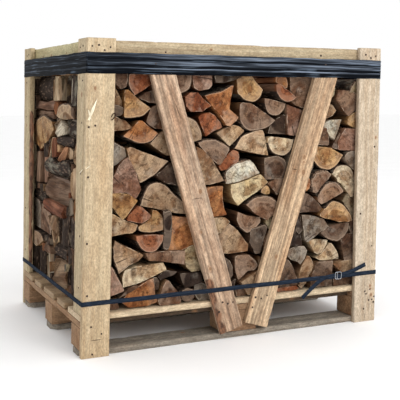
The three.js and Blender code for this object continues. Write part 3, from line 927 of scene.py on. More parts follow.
def find_pith(points, flags, chance):
    """Where the tree's centre lies for this log, and its radius: the bark's centre, or beyond a corner."""
    centre = points.mean(axis=0)
    reach = np.linalg.norm(points - centre, axis=1)
    on_bark = np.flatnonzero(flags > 0.5)
    if len(on_bark) > 4:
        picks = points[on_bark[[0, len(on_bark) // 2, -1]]]
        pith, radius = circle_centre(*picks)
        if pith is not None and radius < 2.6 * reach.max():
            return pith, radius
    corner = points[np.argsort(reach)[-1 - int(chance.integers(0, 3))]]
    pith = centre + (corner - centre) * chance.uniform(0.7, 1.5)
    return pith, np.linalg.norm(points - pith, axis=1).max()


CAP_RINGS = (0.84, 0.6, 0.3)
LOG_STATIONS = (0.0, 0.006, 0.1, 0.28, 0.5, 0.72, 0.9, 1.0)


def add_log(heap, outline, flags, pith, radius, tone, seed, depth, bark_mm, place=None, stray=(3.0, 3.0), lie=None):
    """Add one log. Its outline lies in (x, z) and it runs along +Y over its depth, all in millimetres.

    The end at the start of the depth is the one that shows. Place is a matrix that sets the log elsewhere.
    Stray is how far the far end may wander. A log with a lie is seen from its side: lie is the angle of its
    length within the outline's plane, and the outline is its side's.
    """
    chance = np.random.default_rng(seed)
    near, far = depth
    count = len(outline)
    centre = outline.mean(axis=0)
    spokes = outline - centre
    reach = np.linalg.norm(spokes, axis=1)
    tilt = chance.uniform(-0.045, 0.045, 2)
    drift = chance.uniform(-1.0, 1.0, 2) * stray
    taper = chance.uniform(0.0, 0.05)
    wave = chance.uniform(0, 6.28, 3)
    turn = np.arange(count) / count * 6.283
    tone = np.array(linear(TONES[tone])[:3]) * chance.uniform(0.76, 0.96)
    if lie is not None:
        tone = 1.4 * (0.7 * tone + 0.3 * tone.mean())
    skin = 0 if lie is None else 2 if flags.any() else 1
    angle = math.radians(lie or 0)
    run, side = np.array([math.cos(angle), math.sin(angle)]), np.array([-math.sin(angle), math.cos(angle)])
    ridge, girth = chance.uniform(-0.25, 0.25), np.abs(spokes @ side).max()

    def lift(flat):
        """How far the shown face stands back at each point."""
        away = flat - centre
        back = away @ tilt + 0.5 * np.sin(flat[:, 0] * 0.11 + wave[0]) * np.sin(flat[:, 1] * 0.09)
        if lie is not None:
            fall = np.abs(away @ side / girth - ridge)
            back = back + (0.42 if skin == 1 else 0.5 * fall) * girth * fall
        return back

    rows = []
    bark_edge = flags * bark_mm * (0.8 + 0.2 * np.sin(turn * 7 + wave[1]))
    bevel = np.where(flags > 0.5, 1.0, 0.7)
    for t in LOG_STATIONS:
        scale = 1.0 - taper * t
        ripple = np.sin(turn * 9 + t * 5 + wave[2]) * np.where(flags > 0.5, 0.8, 1.4) * t
        flat = centre + spokes * (scale - 0.01 * (t == 0.0) - ripple[:, None] / 90.0 * 0.6) + drift * t
        if t == 0.0:
            flat = centre + spokes * (1 - bevel / np.maximum(reach, 8.0))[:, None]
            y = near + lift(flat)
        elif t < 0.05:
            y = near + lift(flat) + 1.6
        else:
            y = np.full(count, near + (far - near) * t)
        rows.append(np.column_stack([flat[:, 0], y, flat[:, 1]]))
    cap = []
    for share in CAP_RINGS:
        flat = centre + spokes * share
        cap.append(np.column_stack([flat[:, 0], near + lift(flat) + 0.3 * np.sin(turn * 5 + share * 9), flat[:, 1]]))
    middle = np.array([[centre[0], near + lift(centre[None])[0], centre[1]]])
    tail = np.array([[centre[0] + drift[0], far, centre[1] + drift[1]]])
    points = np.vstack(rows + cap + [middle, tail])

    stations, rings = len(LOG_STATIONS), len(CAP_RINGS)
    rim = [np.zeros(count)] * stations + [(1 - share) * reach for share in CAP_RINGS]
    rim = np.concatenate(rim + [[reach.mean()], [reach.mean()]])
    bark_width = np.concatenate([bark_edge] * (stations + rings) + [[0.0], [0.0]])
    sides = np.roll(np.arange(count), -1)
    here = np.arange(count)
    quads, slots = [], []
    for row in range(stations - 1):
        a, b = row * count, (row + 1) * count
        quads.append(np.stack([a + here, b + here, b + sides, a + sides], axis=-1))
        slots.append(np.where((flags + flags[sides]) / 2 > 0.4, 2, 1) if row else np.zeros(count))
    order = [0] + [stations + i for i in range(rings)]
    for outer, inner in zip(order[:-1], order[1:]):
        a, b = outer * count, inner * count
        quads.append(np.stack([a + here, a + sides, b + sides, b + here], axis=-1))
        slots.append(np.zeros(count))
    quads = [tuple(face) for face in np.vstack(quads).tolist()]
    slots = np.concatenate(slots).astype(int)
    slots = np.where(slots == 0, skin, slots).tolist()
    last, hub, end = order[-1] * count, (stations + rings) * count, (stations - 1) * count
    quads += [(last + i, last + j, hub) for i, j in zip(here.tolist(), sides.tolist())]
    quads += [(end + j, end + i, hub + 1) for i, j in zip(here.tolist(), sides.tolist())]
    slots += [skin] * count + [0] * count

    grain = np.column_stack([points[:, 0] - pith[0], points[:, 2] - pith[1], points[:, 1]]) * MM
    if lie is not None:
        flat = points[:, [0, 2]] - centre
        grain = np.column_stack([flat @ side, points[:, 1], flat @ run]) * MM
    seed_share = chance.random()
    total = len(points)
    world = points * MM
    if place is not None:
        world = np.column_stack([world, np.ones(total)]) @ np.array(place).T
        world = world[:, :3]
        if np.linalg.det(np.array(place)[:3, :3]) < 0:
            quads = [face[::-1] for face in quads]
    # The split sides are weathered to another tone than the fresh ends, and darkened as painted shade, since they show
    # only in the gaps between logs.
    weathered = linear(TONES[list(TONES)[int(chance.integers(3, 13))]])[:3]
    flank_weathered_and_shaded = 0.45 * tone + 0.4 * np.array(weathered)
    on_side = np.zeros(total, dtype=bool)
    on_side[2 * count : stations * count] = lie is None
    values = {
        "grain": grain,
        "trait": repeat((radius * MM, 0.0, seed_share), total),
        "rim": np.column_stack([rim, bark_width, np.zeros(total)]) * MM,
        "tone": np.column_stack([np.where(on_side[:, None], flank_weathered_and_shaded, tone), np.ones(total)]),
    }
    heap.add(world, quads, slots, values)


def inside(points, outline):
    """Which points lie within a closed outline."""
    px, pz = points.T
    hit = np.zeros(len(points), dtype=bool)
    for (x0, z0), (x1, z1) in zip(outline, np.roll(outline, -1, axis=0)):
        crosses = (z0 > pz) != (z1 > pz)
        with np.errstate(divide="ignore", invalid="ignore"):
            hit ^= crosses & (px < (x1 - x0) * (pz - z0) / (z1 - z0) + x0)
    return hit


def wedge_in(outlines, zones, frame_edge, chance, smallest=15.0, largest=62.0):
    """More log outlines that fill the open places between the given ones, within the zones."""
    low, high = frame_edge
    lines = [np.arange(start + 6, end - 5, 8.0) for start, end in zip(low, high)]
    grid = np.stack(np.meshgrid(*lines), axis=-1).reshape(-1, 2)
    grid = grid[np.any([inside(grid, np.array(zone, dtype=float)) for zone in zones], axis=0)]
    walls = []
    for along in np.arange(low[0], high[0], 8.0):
        walls += [(along, low[1]), (along, high[1])]
    for up in np.arange(low[1], high[1], 8.0):
        walls += [(low[0], up), (high[0], up)]
    walls = np.vstack([np.array(walls)] + list(outlines))
    for outline in outlines:
        grid = grid[~inside(grid, outline)]
    room = np.array([np.min(np.hypot(*(walls - point).T)) for point in grid])
    made = []
    while len(grid) and room.max() > smallest:
        seat = grid[np.argmax(room)]
        spokes = walls - seat
        span = np.hypot(*spokes.T)
        corners = []
        for angle in np.arange(0, 360, 30.0) + chance.uniform(0, 30):
            way = np.array([math.cos(math.radians(angle)), math.sin(math.radians(angle))])
            facing = (spokes @ way) / np.maximum(span, 1e-6)
            ahead = span[facing > 0.9]
            reach = min(ahead.min() if len(ahead) else largest, 1.6 * room.max() + 8, largest)
            corners.append(seat + way * (reach - 2.0) * chance.uniform(0.9, 1.0))
        outline = np.array(corners)
        made.append(outline)
        rim = curve_through(np.vstack([outline, outline[:1]]), 6.0)
        keep = ~inside(grid, outline)
        grid, room = grid[keep], room[keep]
        if len(grid):
            fresh = np.array([np.min(np.hypot(*(rim - point).T)) for point in grid])
            room = np.minimum(room, fresh)
        walls = np.vstack([walls, rim])
    return made


# ---------------------------------------------------------------- geometry nodes


class Build(Graph):
    """A Geometry Nodes tree under construction, with its named inputs."""

    def __init__(self, name, **inputs):
        tree = bpy.data.node_groups.new(name, "GeometryNodeTree")
        super().__init__(tree)
        tree.interface.new_socket("Geometry", in_out="INPUT", socket_type="NodeSocketGeometry")
        tree.interface.new_socket("Geometry", in_out="OUTPUT", socket_type="NodeSocketGeometry")
        for kind, labels in inputs.items():
            for label in labels:
                tree.interface.new_socket(label, in_out="INPUT", socket_type="NodeSocket" + kind)
        self.start = {socket.name: Result(self, socket) for socket in self.add("NodeGroupInput").outputs}
        self.end = self.add("NodeGroupOutput").inputs

    def close(self, geometry, finish):
        """Realize the instances, give the finish and end the tree."""
        whole = self.run("GeometryNodeRealizeInstances", {"Geometry": geometry})
        done = self.run("GeometryNodeSetMaterial", {"Geometry": whole, "Material": finish})
        self.feed(self.end["Geometry"], done)
        return self.tree


def run_tree(obj, tree, values):
    """Run a tree on an object with its inputs set, and keep the result as the object's plain mesh."""
    modifier = obj.modifiers.new(tree.name, "NODES")
    modifier.node_group = tree
    for item in tree.interface.items_tree:
        if item.item_type == "SOCKET" and item.in_out == "INPUT" and item.name in values:
            modifier[item.identifier] = values[item.name]
    graph = bpy.context.evaluated_depsgraph_get()
    mesh = bpy.data.meshes.new_from_object(obj.evaluated_get(graph), depsgraph=graph)
    mesh.name = obj.name
    obj.modifiers.remove(modifier)
    if obj.type == "MESH":
        obj.data = mesh
        return obj
    made = new_object(obj.name + "_band", mesh)
    bpy.data.objects.remove(obj)
    return made


def nail_tree():
    """Nail heads on points, each facing out of its board with a slight tilt."""
    floats = ("Head diameter", "Head height", "Tilt")
    build = Build("Nail heads", Float=floats, Int=("Seed",), Material=("Finish",))
    start = build.start
    tilt, seed = start["Tilt"], start["Seed"]
    radius = start["Head diameter"] * 0.5
    cone = {"Vertices": 12, "Radius Bottom": radius, "Radius Top": radius * 0.78, "Depth": start["Head height"]}
    head = build.run("GeometryNodeMeshCone", cone)
    facing = build.run("GeometryNodeInputNamedAttribute", {"Name": "facing"}, data_type="FLOAT_VECTOR")
    least, most = build.join(*[tilt * -1.0] * 3), build.join(*[tilt] * 3)
    lean = build.run("FunctionNodeRandomValue", {0: least, 1: most, "Seed": seed}, data_type="FLOAT_VECTOR")
    aim = build.run("ShaderNodeVectorMath", (facing, lean), operation="ADD")
    turn = build.run("FunctionNodeAlignRotationToVector", {"Vector": aim}, axis="Z")
    size = build.run("FunctionNodeRandomValue", {2: 0.8, 3: 1.15, "Seed": seed}, 1, data_type="FLOAT")
    heads = {"Points": start["Geometry"], "Instance": head, "Rotation": turn, "Scale": size}
    nails = build.run("GeometryNodeInstanceOnPoints", heads)
    return build.close(nails, start["Finish"])


def strap_tree():
    """A flat band along a path, standing upright, with its length stored for the finish."""
    build = Build("Strap band", Float=("Width", "Thickness", "Step", "Ripple"), Material=("Finish",))
    start = build.start
    path = build.run("GeometryNodeResampleCurve", {"Curve": start["Geometry"], "Length": start["Step"]}, mode="LENGTH")
    path = build.run("GeometryNodeSetCurveNormal", {"Curve": path}, mode="Z_UP")
    length = build.run("GeometryNodeSplineParameter", (), "Length")
    stored = {"Geometry": path, "Name": "along", "Value": length}
    path = build.run("GeometryNodeStoreNamedAttribute", stored, data_type="FLOAT", domain="POINT")
    wave = build.math("SINE", length * 23.0)
    lift = build.join(0.0, 0.0, wave * start["Ripple"])
    path = build.run("GeometryNodeSetPosition", {"Geometry": path, "Offset": lift})
    sides = {"Width": start["Thickness"], "Height": start["Width"]}
    section = build.run("GeometryNodeCurvePrimitiveQuadrilateral", sides)
    band = build.run("GeometryNodeCurveToMesh", {"Curve": path, "Profile Curve": section, "Fill Caps": True})
    return build.close(band, start["Finish"])


def tube_along(path, radius, sides=8, closed=True):
    """Vertices and faces of a round wire along a closed or open path, in metres."""
    path, radius = np.asarray(path, dtype=float), float(radius)
    ahead = np.roll(path, -1, axis=0) if closed else np.vstack([path[1:], 2 * path[-1] - path[-2]])
    back = np.roll(path, 1, axis=0) if closed else np.vstack([2 * path[0] - path[1], path[:-1]])
    points, faces = [], []
    for place, before, after in zip(path, back, ahead):
        run = Vector(after - before).normalized()
        side = run.cross(Vector((0, 1, 0)))
        side = side.normalized() if side.length > 1e-4 else Vector((1, 0, 0))
        up = run.cross(side)
        for i in range(sides):
            angle = 2 * math.pi * i / sides
            points.append(Vector(place) + radius * (math.cos(angle) * side + math.sin(angle) * up))
    rows = len(path)
    for row in range(rows if closed else rows - 1):
        a, b = row * sides, ((row + 1) % rows) * sides
        faces += [(a + i, b + i, b + (i + 1) % sides, a + (i + 1) % sides) for i in range(sides)]
    if not closed:
        faces += [tuple(range(sides))[::-1], tuple(range((rows - 1) * sides, rows * sides))]
    faces = [face[::-1] for face in faces]
    return [tuple(point) for point in points], faces


def plain_piece(name, points, faces, finish, smooth_angle=40.0):
    """A mesh object from vertices and faces, with one finish."""
    mesh = bpy.data.meshes.new(name)
    mesh.from_pydata([tuple(point) for point in points], [], faces)
    mesh.materials.append(finish)
    mesh.polygons.foreach_set("use_smooth", [True] * len(mesh.polygons))
    mesh.set_sharp_from_angle(angle=math.radians(smooth_angle))
    return new_object(name, mesh)


# ---------------------------------------------------------------- settings


def colour_property(label, about, value):
    """A colour setting from a colour of 0 to 255 parts."""
    return bpy.props.FloatVectorProperty(
        name=label, description=about, subtype="COLOR", size=4, min=0.0, max=1.0, default=linear(value)
    )


def length_property(label, about, value):
    """A length setting."""
    return bpy.props.FloatProperty(name=label, description=about, default=value, unit="LENGTH")


def number_property(label, about, value, least, most):
    """A plain number setting with its limits."""
    return bpy.props.FloatProperty(name=label, description=about, default=value, min=least, max=most)


class BoardSettings(bpy.types.PropertyGroup):
    """Sizes and colours of the sawn boards and their nails."""

    edge_round: number_property("Edge rounding", "How far the boards' edges are worn, in millimetres", 2.2, 0.5, 5)
    grid_step: number_property("Grid step", "Spacing of the boards' mesh, in millimetres", 12.0, 5, 40)
    nail_head: length_property("Nail head", "Diameter of the nail heads", 0.0075)
    nail_colour: colour_property("Nail colour", "Colour of the rusted nail heads", (74, 58, 50))


class LogSettings(bpy.types.PropertyGroup):
    """How the logs are laid."""

    recess: length_property("Recess", "How far the deepest log end stands back from the row's face", 0.02)
    courses: bpy.props.IntProperty(
        name="Pieces per row", description="Meshes that each row is split into", default=6, min=1
    )
    slant: length_property("Slant", "How far a log's hidden end strays from its shown end", 0.009)
    seed: bpy.props.IntProperty(name="Seed", description="Seed of the small differences between logs", default=11)


class FilmSettings(bpy.types.PropertyGroup):
    """The stretch film band round the crate's top."""

    cut_length: length_property("Cut length", "Length of the film before it was pulled round", 4.08)
    cut_width: length_property("Cut width", "Width of the film before pulling narrowed it", 0.09)
    crease: length_property("Crease height", "Height of the pulled creases", 0.0016)
    colour: colour_property("Film colour", "Colour of the film", (15, 17, 21))


class StrapSettings(bpy.types.PropertyGroup):
    """The tensioned strap round the crate's foot and its wire buckle."""

    width: length_property("Width", "Width of the strap", 0.016)
    thickness: length_property("Thickness", "Thickness of the strap", 0.001)
    colour: colour_property("Strap colour", "Colour of the strap", (34, 41, 52))
    steel: colour_property("Buckle colour", "Colour of the buckle's wire", (196, 200, 206))


class StudioSettings(bpy.types.PropertyGroup):
    """Camera, floor and light."""

    lens: number_property("Lens", "Focal length in millimetres", 73.8, 20, 200)
    key: bpy.props.FloatProperty(name="Key light", description="Power of the main light", default=80.0, unit="POWER")
    fill: bpy.props.FloatProperty(name="Fill light", description="Power of the side light", default=16.0, unit="POWER")
    sky: bpy.props.FloatProperty(
        name="Room light", description="Strength of the light from all round", default=1.0, min=0
    )
    floor: colour_property("Floor colour", "Colour of the floor", (252, 252, 252))


SETTINGS = {
    "crate_boards": BoardSettings,
    "crate_logs": LogSettings,
    "crate_film": FilmSettings,
    "crate_strap": StrapSettings,
    "crate_studio": StudioSettings,
}


# ---------------------------------------------------------------- pallet and crate


def board_grid(context):
    """The boards' rounding and mesh spacing, as looks."""
    settings = context.scene.crate_boards
    return {"soft": settings.edge_round, "step": settings.grid_step}


class FIREWOOD_OT_pallet(bpy.types.Operator):
    """Saw the pallet: bottom boards, blocks, cross boards, bearers and deck"""

    bl_idname = "firewood.pallet"
    bl_label = "Pallet"

    def execute(self, context):
        grid = board_grid(context)
        weathered = sawn_wood("runner_wood", (172, 163, 148), (106, 98, 88), 0.4, 0.8, 0.6, 0.85)
        block = sawn_wood("block_wood", (176, 142, 108), (126, 96, 72), 0.5, 0.7, 0.45, 0.8)
        deck = sawn_wood("deck_wood", (224, 204, 172), (180, 154, 122), 0.45, 0.6, 0.4)
        dark = sawn_wood("bearer_wood", (104, 86, 68), (66, 54, 43), 0.5, 0.6, 0.5, 0.85)
        for i, row in enumerate(("front", "middle", "back")):
            board_from_node(
                f"bottom_board_{row}", "x", "y", "z", 11 + i, weathered, "runner_wood", plan_cut=24, chips=16, **grid
            )
            for j, column in enumerate(("left", "centre", "right")):
                name = f"block_{row}_{column}"
                out = "y" if row == "back" else "-y"
                board_from_node(name, "x", "z", out, 21 + 3 * i + j, block, "block_wood", chips=4, **grid)
        for j, column in enumerate(("left", "centre", "right")):
            board_from_node(f"cross_board_{column}", "y", "x", "z", 41 + j, block, "deck_wood", chips=10, **grid)
        for j, name in enumerate(("front_left", "front_right", "back_left", "back_right")):
            board_from_node(f"bearer_{name}", "x", "z", "-y", 51 + j, dark, "bearer_wood", chips=6, **grid)
        for i in range(1, 6):
            looks = {"chips": 14, "stray_knots": 4, "tint": (1, 1, 1) if i == 1 else (0.62, 0.56, 0.5), **grid}
            board_from_node(f"deck_board_{i}", "x", "y", "z", 60 + i, deck, "deck_wood", **looks)
        return {"FINISHED"}


POST_LOOKS = {
    "post_front_left_face": {
        "cracks": [(61, 30, 61, 76, 2.4)],
        "knots": [(905, 30, 4)],
        "pith": (0.02, -0.09),
        "tint": (1.0, 0.99, 0.96),
    },
    "post_front_right_face": {
        "knots": [(104, 80, 5), (141, 74, 4), (726, 84, 4)],
        "cracks": [(0, 52, 34, 51, 1.4)],
        "pith": (-0.05, -0.07),
        "tint": (0.94, 0.96, 1.06),
    },
    "post_back_left_face": {"wanes": [(1, 130, 850, 9, 30)], "tint": (0.97, 0.97, 0.95)},
    "post_back_right_face": {"knots": [(640, 40, 8)], "tint": (0.99, 0.97, 0.93)},
    "post_back_left_side": {"wanes": [(-1, 0, 700, 11, 42)], "tint": (0.98, 1.0, 0.98)},
}


class FIREWOOD_OT_posts(bpy.types.Operator):
    """Saw the corner posts and top rails"""

    bl_idname = "firewood.posts"
    bl_label = "Posts and rails"

    def execute(self, context):
        grid = board_grid(context)
        face = sawn_wood("pine_face", (204, 188, 160), (180, 154, 120), 0.3, 0.5, 0.16)
        side = sawn_wood("pine_side", (200, 183, 152), (168, 146, 111), 0.35, 0.55, 0.22)
        seed = 100
        for front in ("front", "back"):
            for hand in ("left", "right"):
                seed += 7
                name = f"post_{front}_{hand}_face"
                looks = {"stray_knots": 0 if front == "front" else 2, **POST_LOOKS.get(name, {}), **grid}
                board_from_node(name, "z", "x", "-y" if front == "front" else "y", seed, face, "pine_face", **looks)
                name = f"post_{front}_{hand}_side"
                looks = {"stray_knots": 2, **POST_LOOKS.get(name, {}), **grid}
                board_from_node(name, "z", "y", "-x" if hand == "left" else "x", seed + 3, side, "pine_side", **looks)
        for name, along, out in (("front", "x", "-y"), ("back", "x", "y"), ("left", "y", "-x"), ("right", "y", "x")):
            seed += 5
            finish, slot = (face, "pine_face") if along == "x" else (side, "pine_side")
            tint = {"front": (0.83, 0.83, 0.8), "left": (1.02, 1.12, 1.0)}.get(name, (1, 1, 1))
            board_from_node(f"rail_{name}", along, "z", out, seed, finish, slot, stray_knots=4, tint=tint, **grid)
        return {"FINISHED"}


BRACE_LOOKS = {
    "left": {
        "knots": [(530, 70, 6), (250, 30, 4)],
        "cracks": [(790, 70, 876, 62, 2.2), (515, 28, 505, 74, 1.8)],
        "wanes": [(-1, -60, 250, 8, 46)],
        "pith": (-0.03, -0.12),
        "tint": (1.0, 0.98, 0.99),
    },
    "right": {
        "knots": [(588, 26, 5), (592, 66, 7), (262, 52, 5)],
        "cracks": [(590, 10, 594, 38, 3.0)],
        "pith": (0.01, -0.05),
        "tint": (1.0, 0.96, 0.88),
    },
}


def brace_frame(name):
    """A leaning board's foot corner, its length and width axes and its size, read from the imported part."""
    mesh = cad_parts[name].data
    points = np.array([vertex.co for vertex in mesh.vertices])
    flat = np.unique(np.round(points[:, [0, 2]], 5), axis=0)
    middle = flat.mean(axis=0)
    order = np.argsort(np.arctan2(*(flat - middle).T[::-1]))
    corners = flat[order]
    sides = np.roll(corners, -1, axis=0) - corners
    lengths = np.linalg.norm(sides, axis=1)
    long = sides[np.argmax(lengths)]
    long = long / np.linalg.norm(long) * (1 if long[1] > 0 else -1)
    across = np.array([long[1], -long[0]])
    size = (lengths.max(), lengths.min(), np.ptp(points[:, 1]))
    foot = middle - long * size[0] / 2 - across * size[1] / 2
    return foot, long, across, size, points[:, 1].min(), points[:, 1].max()


class FIREWOOD_OT_braces(bpy.types.Operator):
    """Saw the leaning braces of both long sides"""

    bl_idname = "firewood.braces"
    bl_label = "Braces"

    def execute(self, context):
        finish = sawn_wood("brace_pine", (206, 184, 157), (144, 114, 90), 0.6, 0.65, 0.3, streak=0.34)
        for i, side in enumerate(("front", "back")):
            for j, hand in enumerate(("left", "right")):
                name = f"brace_{side}_{hand}"
                foot, long, across, size, near, far = brace_frame(name)
                out = -1.0 if side == "front" else 1.0
                corner = (foot[0], far if side == "front" else near, foot[1])
                axes = [(long[0], 0, long[1]), (across[0], 0, across[1]), (0, out, 0)]
                heap = Heap(BOARD_ATTRIBUTES)
                looks = {"stray_knots": 1, "step": 9.0, "chips": 14, **BRACE_LOOKS[hand]}
                add_board(heap, corner, axes, size, 201 + 10 * i + j, **looks)
                settle(heap.piece(name + "_sawn", [finish]), "brace_pine", name)
        return {"FINISHED"}


# Nails on the front face, as (x, z) in millimetres, where the crate shows them.
FRONT_NAILS = [
    (-589, 777), (-567, 782), (-588, 612), (-587, 390), (-583, 214), (-567, 107), (-530, 80), (-561, 13),
    (-583, 1042), (-560, 1046), (-520, 1040), (-540, 1030), (-306, 1029), (-345, 990), (323, 1035), (345, 1002),
    (-78, 141), (-57, 134), (-36, 138), (-92, 107), (58, 146), (82, 139), (106, 148), (45, 110),
    (575, 1040), (552, 1032), (528, 1044), (580, 690), (520, 430), (578, 300), (546, 51), (556, 110),
    (584, 85), (592, 74), (569, 84), (595, 96), (574, 126), (550, 121),
]


class FIREWOOD_OT_nails(bpy.types.Operator):
    """Drive the nails that hold the posts, rails, braces and deck"""

    bl_idname = "firewood.nails"
    bl_label = "Nails"

    def execute(self, context):
        settings = context.scene.crate_boards
        rusted = plain_steel("nail_rust", settings.nail_colour, 0.75, metallic=0.3)
        places, facing = [], []

        def drive(place, way):
            places.append(place)
            facing.append(way)

        low, high = node_box("post_front_left_face")
        face_y = low[1]
        back_y = node_box("post_back_left_face")[1][1]
        brace_y = node_box("brace_front_left")[0][1]
        for x, z in FRONT_NAILS:
            drive((x * MM, brace_y if abs(x) < 200 else face_y, z * MM), (0, -1, 0))
            if z > 200 or abs(x) < 200:
                drive((-x * MM, back_y, z * MM - 0.004), (0, 1, 0))
        for front in ("front", "back"):
            for hand, out in (("left", -1), ("right", 1)):
                low, high = node_box(f"post_{front}_{hand}_side")
                x = low[0] if out < 0 else high[0]
                edge = low[1] + 0.022 if front == "front" else high[1] - 0.022
                for z in (0.235, 0.41, 0.62, 0.79, 0.93):
                    drive((x, edge, z), (out, 0, 0))
                drive((x, (low[1] + high[1]) / 2 + 0.012, high[2] - 0.03), (out, 0, 0))
                drive((x, (low[1] + high[1]) / 2 - 0.016, high[2] - 0.026), (out, 0, 0))
        for i in range(1, 6):
            low, high = node_box(f"deck_board_{i}")
            for x in (low[0] + 0.05, 0.0, high[0] - 0.05):
                for y in (low[1] + 0.02, high[1] - 0.02):
                    drive((x, y, high[2]), (0, 0, 1))
        mesh = bpy.data.meshes.new("nail_heads")
        mesh.from_pydata(places, [], [])
        layer = mesh.attributes.new("facing", "FLOAT_VECTOR", "POINT")
        layer.data.foreach_set("vector", np.array(facing, dtype=float).ravel())
        nails = new_object("nail_heads", mesh)
        values = {"Head diameter": settings.nail_head, "Head height": 0.0012, "Tilt": 0.12, "Seed": 5, "Finish": rusted}
        settle(run_tree(nails, nail_tree(), values), "steel_wire")
        return {"FINISHED"}


# ---------------------------------------------------------------- the stacked logs


# The rows stop here on both sides, in millimetres from the middle, to leave room for END_LOGS.
END_REACH = 497.0
FRONT_REACH = 536.0

# End logs that reach further forward than this, in millimetres from the middle, stop at the front row's logs.
END_FRONT = 128.0

# A front log that reaches past this, in millimetres from the middle, ends behind a post.
HIDDEN_PAST = 560.0


def stack_edge():
    """The open width and height that the logs fill, in millimetres."""
    low, high = node_box("log_row_front")
    return np.array([low[0], low[2]]) / MM, np.array([high[0], high[2]]) / MM


def grow(outline, by):
    """The outline with every point moved out from its centre."""
    spokes = outline - outline.mean(axis=0)
    reach = np.maximum(np.linalg.norm(spokes, axis=1), 1e-6)[:, None]
    return outline + spokes / reach * by


def corners_from(text):
    """A table's corners as pairs of numbers."""
    return [tuple(map(float, pair.split(","))) for pair in text.split()]


def make_logs(listed, low, high, zones, smallest, seed, spare=None, spread=1.6):
    """Outlines, piths and tones of the listed logs, and of those wedged in between them within the zones.

    Listed logs are (tone, corners, bark run, bark thickness, lie). Spare is the lie of the wedged ones.
    """
    chance = np.random.default_rng(seed)
    names = list(TONES)[1:12]
    logs, outlines = [], []

    def lay(tone, corners, bark, thick, lie, by):
        outline, flags = log_outline(corners, bark, chance)
        outline = np.clip(grow(outline, by), low + 1, high - 1)
        if np.ptp(outline[:, 0]) > 12:
            outlines.append(outline)
            logs.append((outline, flags, *find_pith(outline, flags, chance), tone, thick, lie))

    for tone, text, *rest in listed:
        corners = corners_from(text)
        bark, thick, *lie = rest or (None, 0)
        hidden_end = not lie and max(abs(x) for x, _ in corners) > HIDDEN_PAST
        lay(tone, corners, bark, thick, lie[0] if lie else None, 4.0 if hidden_end else spread)
    for corners in wedge_in(outlines, zones, (low, high), chance, smallest):
        lay(names[int(chance.integers(len(names)))], corners, (2, 6) if chance.random() < 0.4 else None, 3, spare, 0.0)
    return logs


def row_logs(seed, reach):
    """The logs of one row between two limits, with open places filled: all of them, or where they show."""
    low, high = stack_edge()
    everywhere = [[(low[0], low[1]), (high[0], low[1]), (high[0], high[1]), (low[0], high[1])]]
    unseen = [
        [(-390, 960), (-225, 960), (60, 140), (-120, 140)],
        [(420, 960), (240, 960), (-20, 140), (150, 140)],
        [(-600, 130), (-505, 130), (-505, 960), (-600, 960)],
        [(505, 130), (600, 130), (600, 960), (505, 960)],
        [(-600, 130), (600, 130), (600, 200), (-600, 200)],
    ]
    zones, smallest, spread = (everywhere, 9.0, 1.6) if reach < FRONT_REACH else (unseen, 15.0, 0.6)
    edge = np.array([-reach, low[1]]), np.array([reach, high[1]])
    return make_logs(LOG_ENDS, *edge, zones, smallest, seed, spread=spread)


def lay_row(name, node, logs, finishes, settings, seed, facing, mirrored=False, shuffle=False):
    """Build one row of logs in a few meshes, each a band of courses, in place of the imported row."""
    chance = np.random.default_rng(seed)
    low, high = node_box(node)
    near, far = (low[1], high[1]) if facing < 0 else (high[1], low[1])
    near, far = near / MM, far / MM
    heaps = [Heap(LOG_ATTRIBUTES) for _ in range(settings.courses)]
    bottom, top = low[2] / MM, high[2] / MM
    flip = Matrix.Diagonal((-1, 1, 1, 1)) if mirrored else None
    names = list(TONES)[:11]
    for i, (outline, flags, pith, radius, tone, thick, _) in enumerate(logs):
        centre = outline.mean(axis=0)
        course = int((centre[1] - bottom) / (top - bottom) * settings.courses)
        heap = heaps[min(max(course, 0), settings.courses - 1)]
        recess = chance.uniform(0.0, settings.recess) / MM
        tone = names[int(chance.integers(len(names)))] if shuffle else tone
        past = chance.uniform(0.0, 11.0)
        if facing < 0:
            depth, place = (near + recess, far + past), flip
        else:
            depth = (-(near - recess), -far + past)
            place = Matrix.Diagonal((1, -1, 1, 1))
            place = place @ flip if flip else place
        stray = np.array([1.0, 0.7]) * settings.slant / MM
        add_log(heap, outline, flags, pith, radius, tone, seed * 1000 + i, depth, thick, place, stray)
    for i, heap in enumerate(heaps):
        settle(heap.piece(f"{name}_{i + 1}", finishes), "split_log", node)


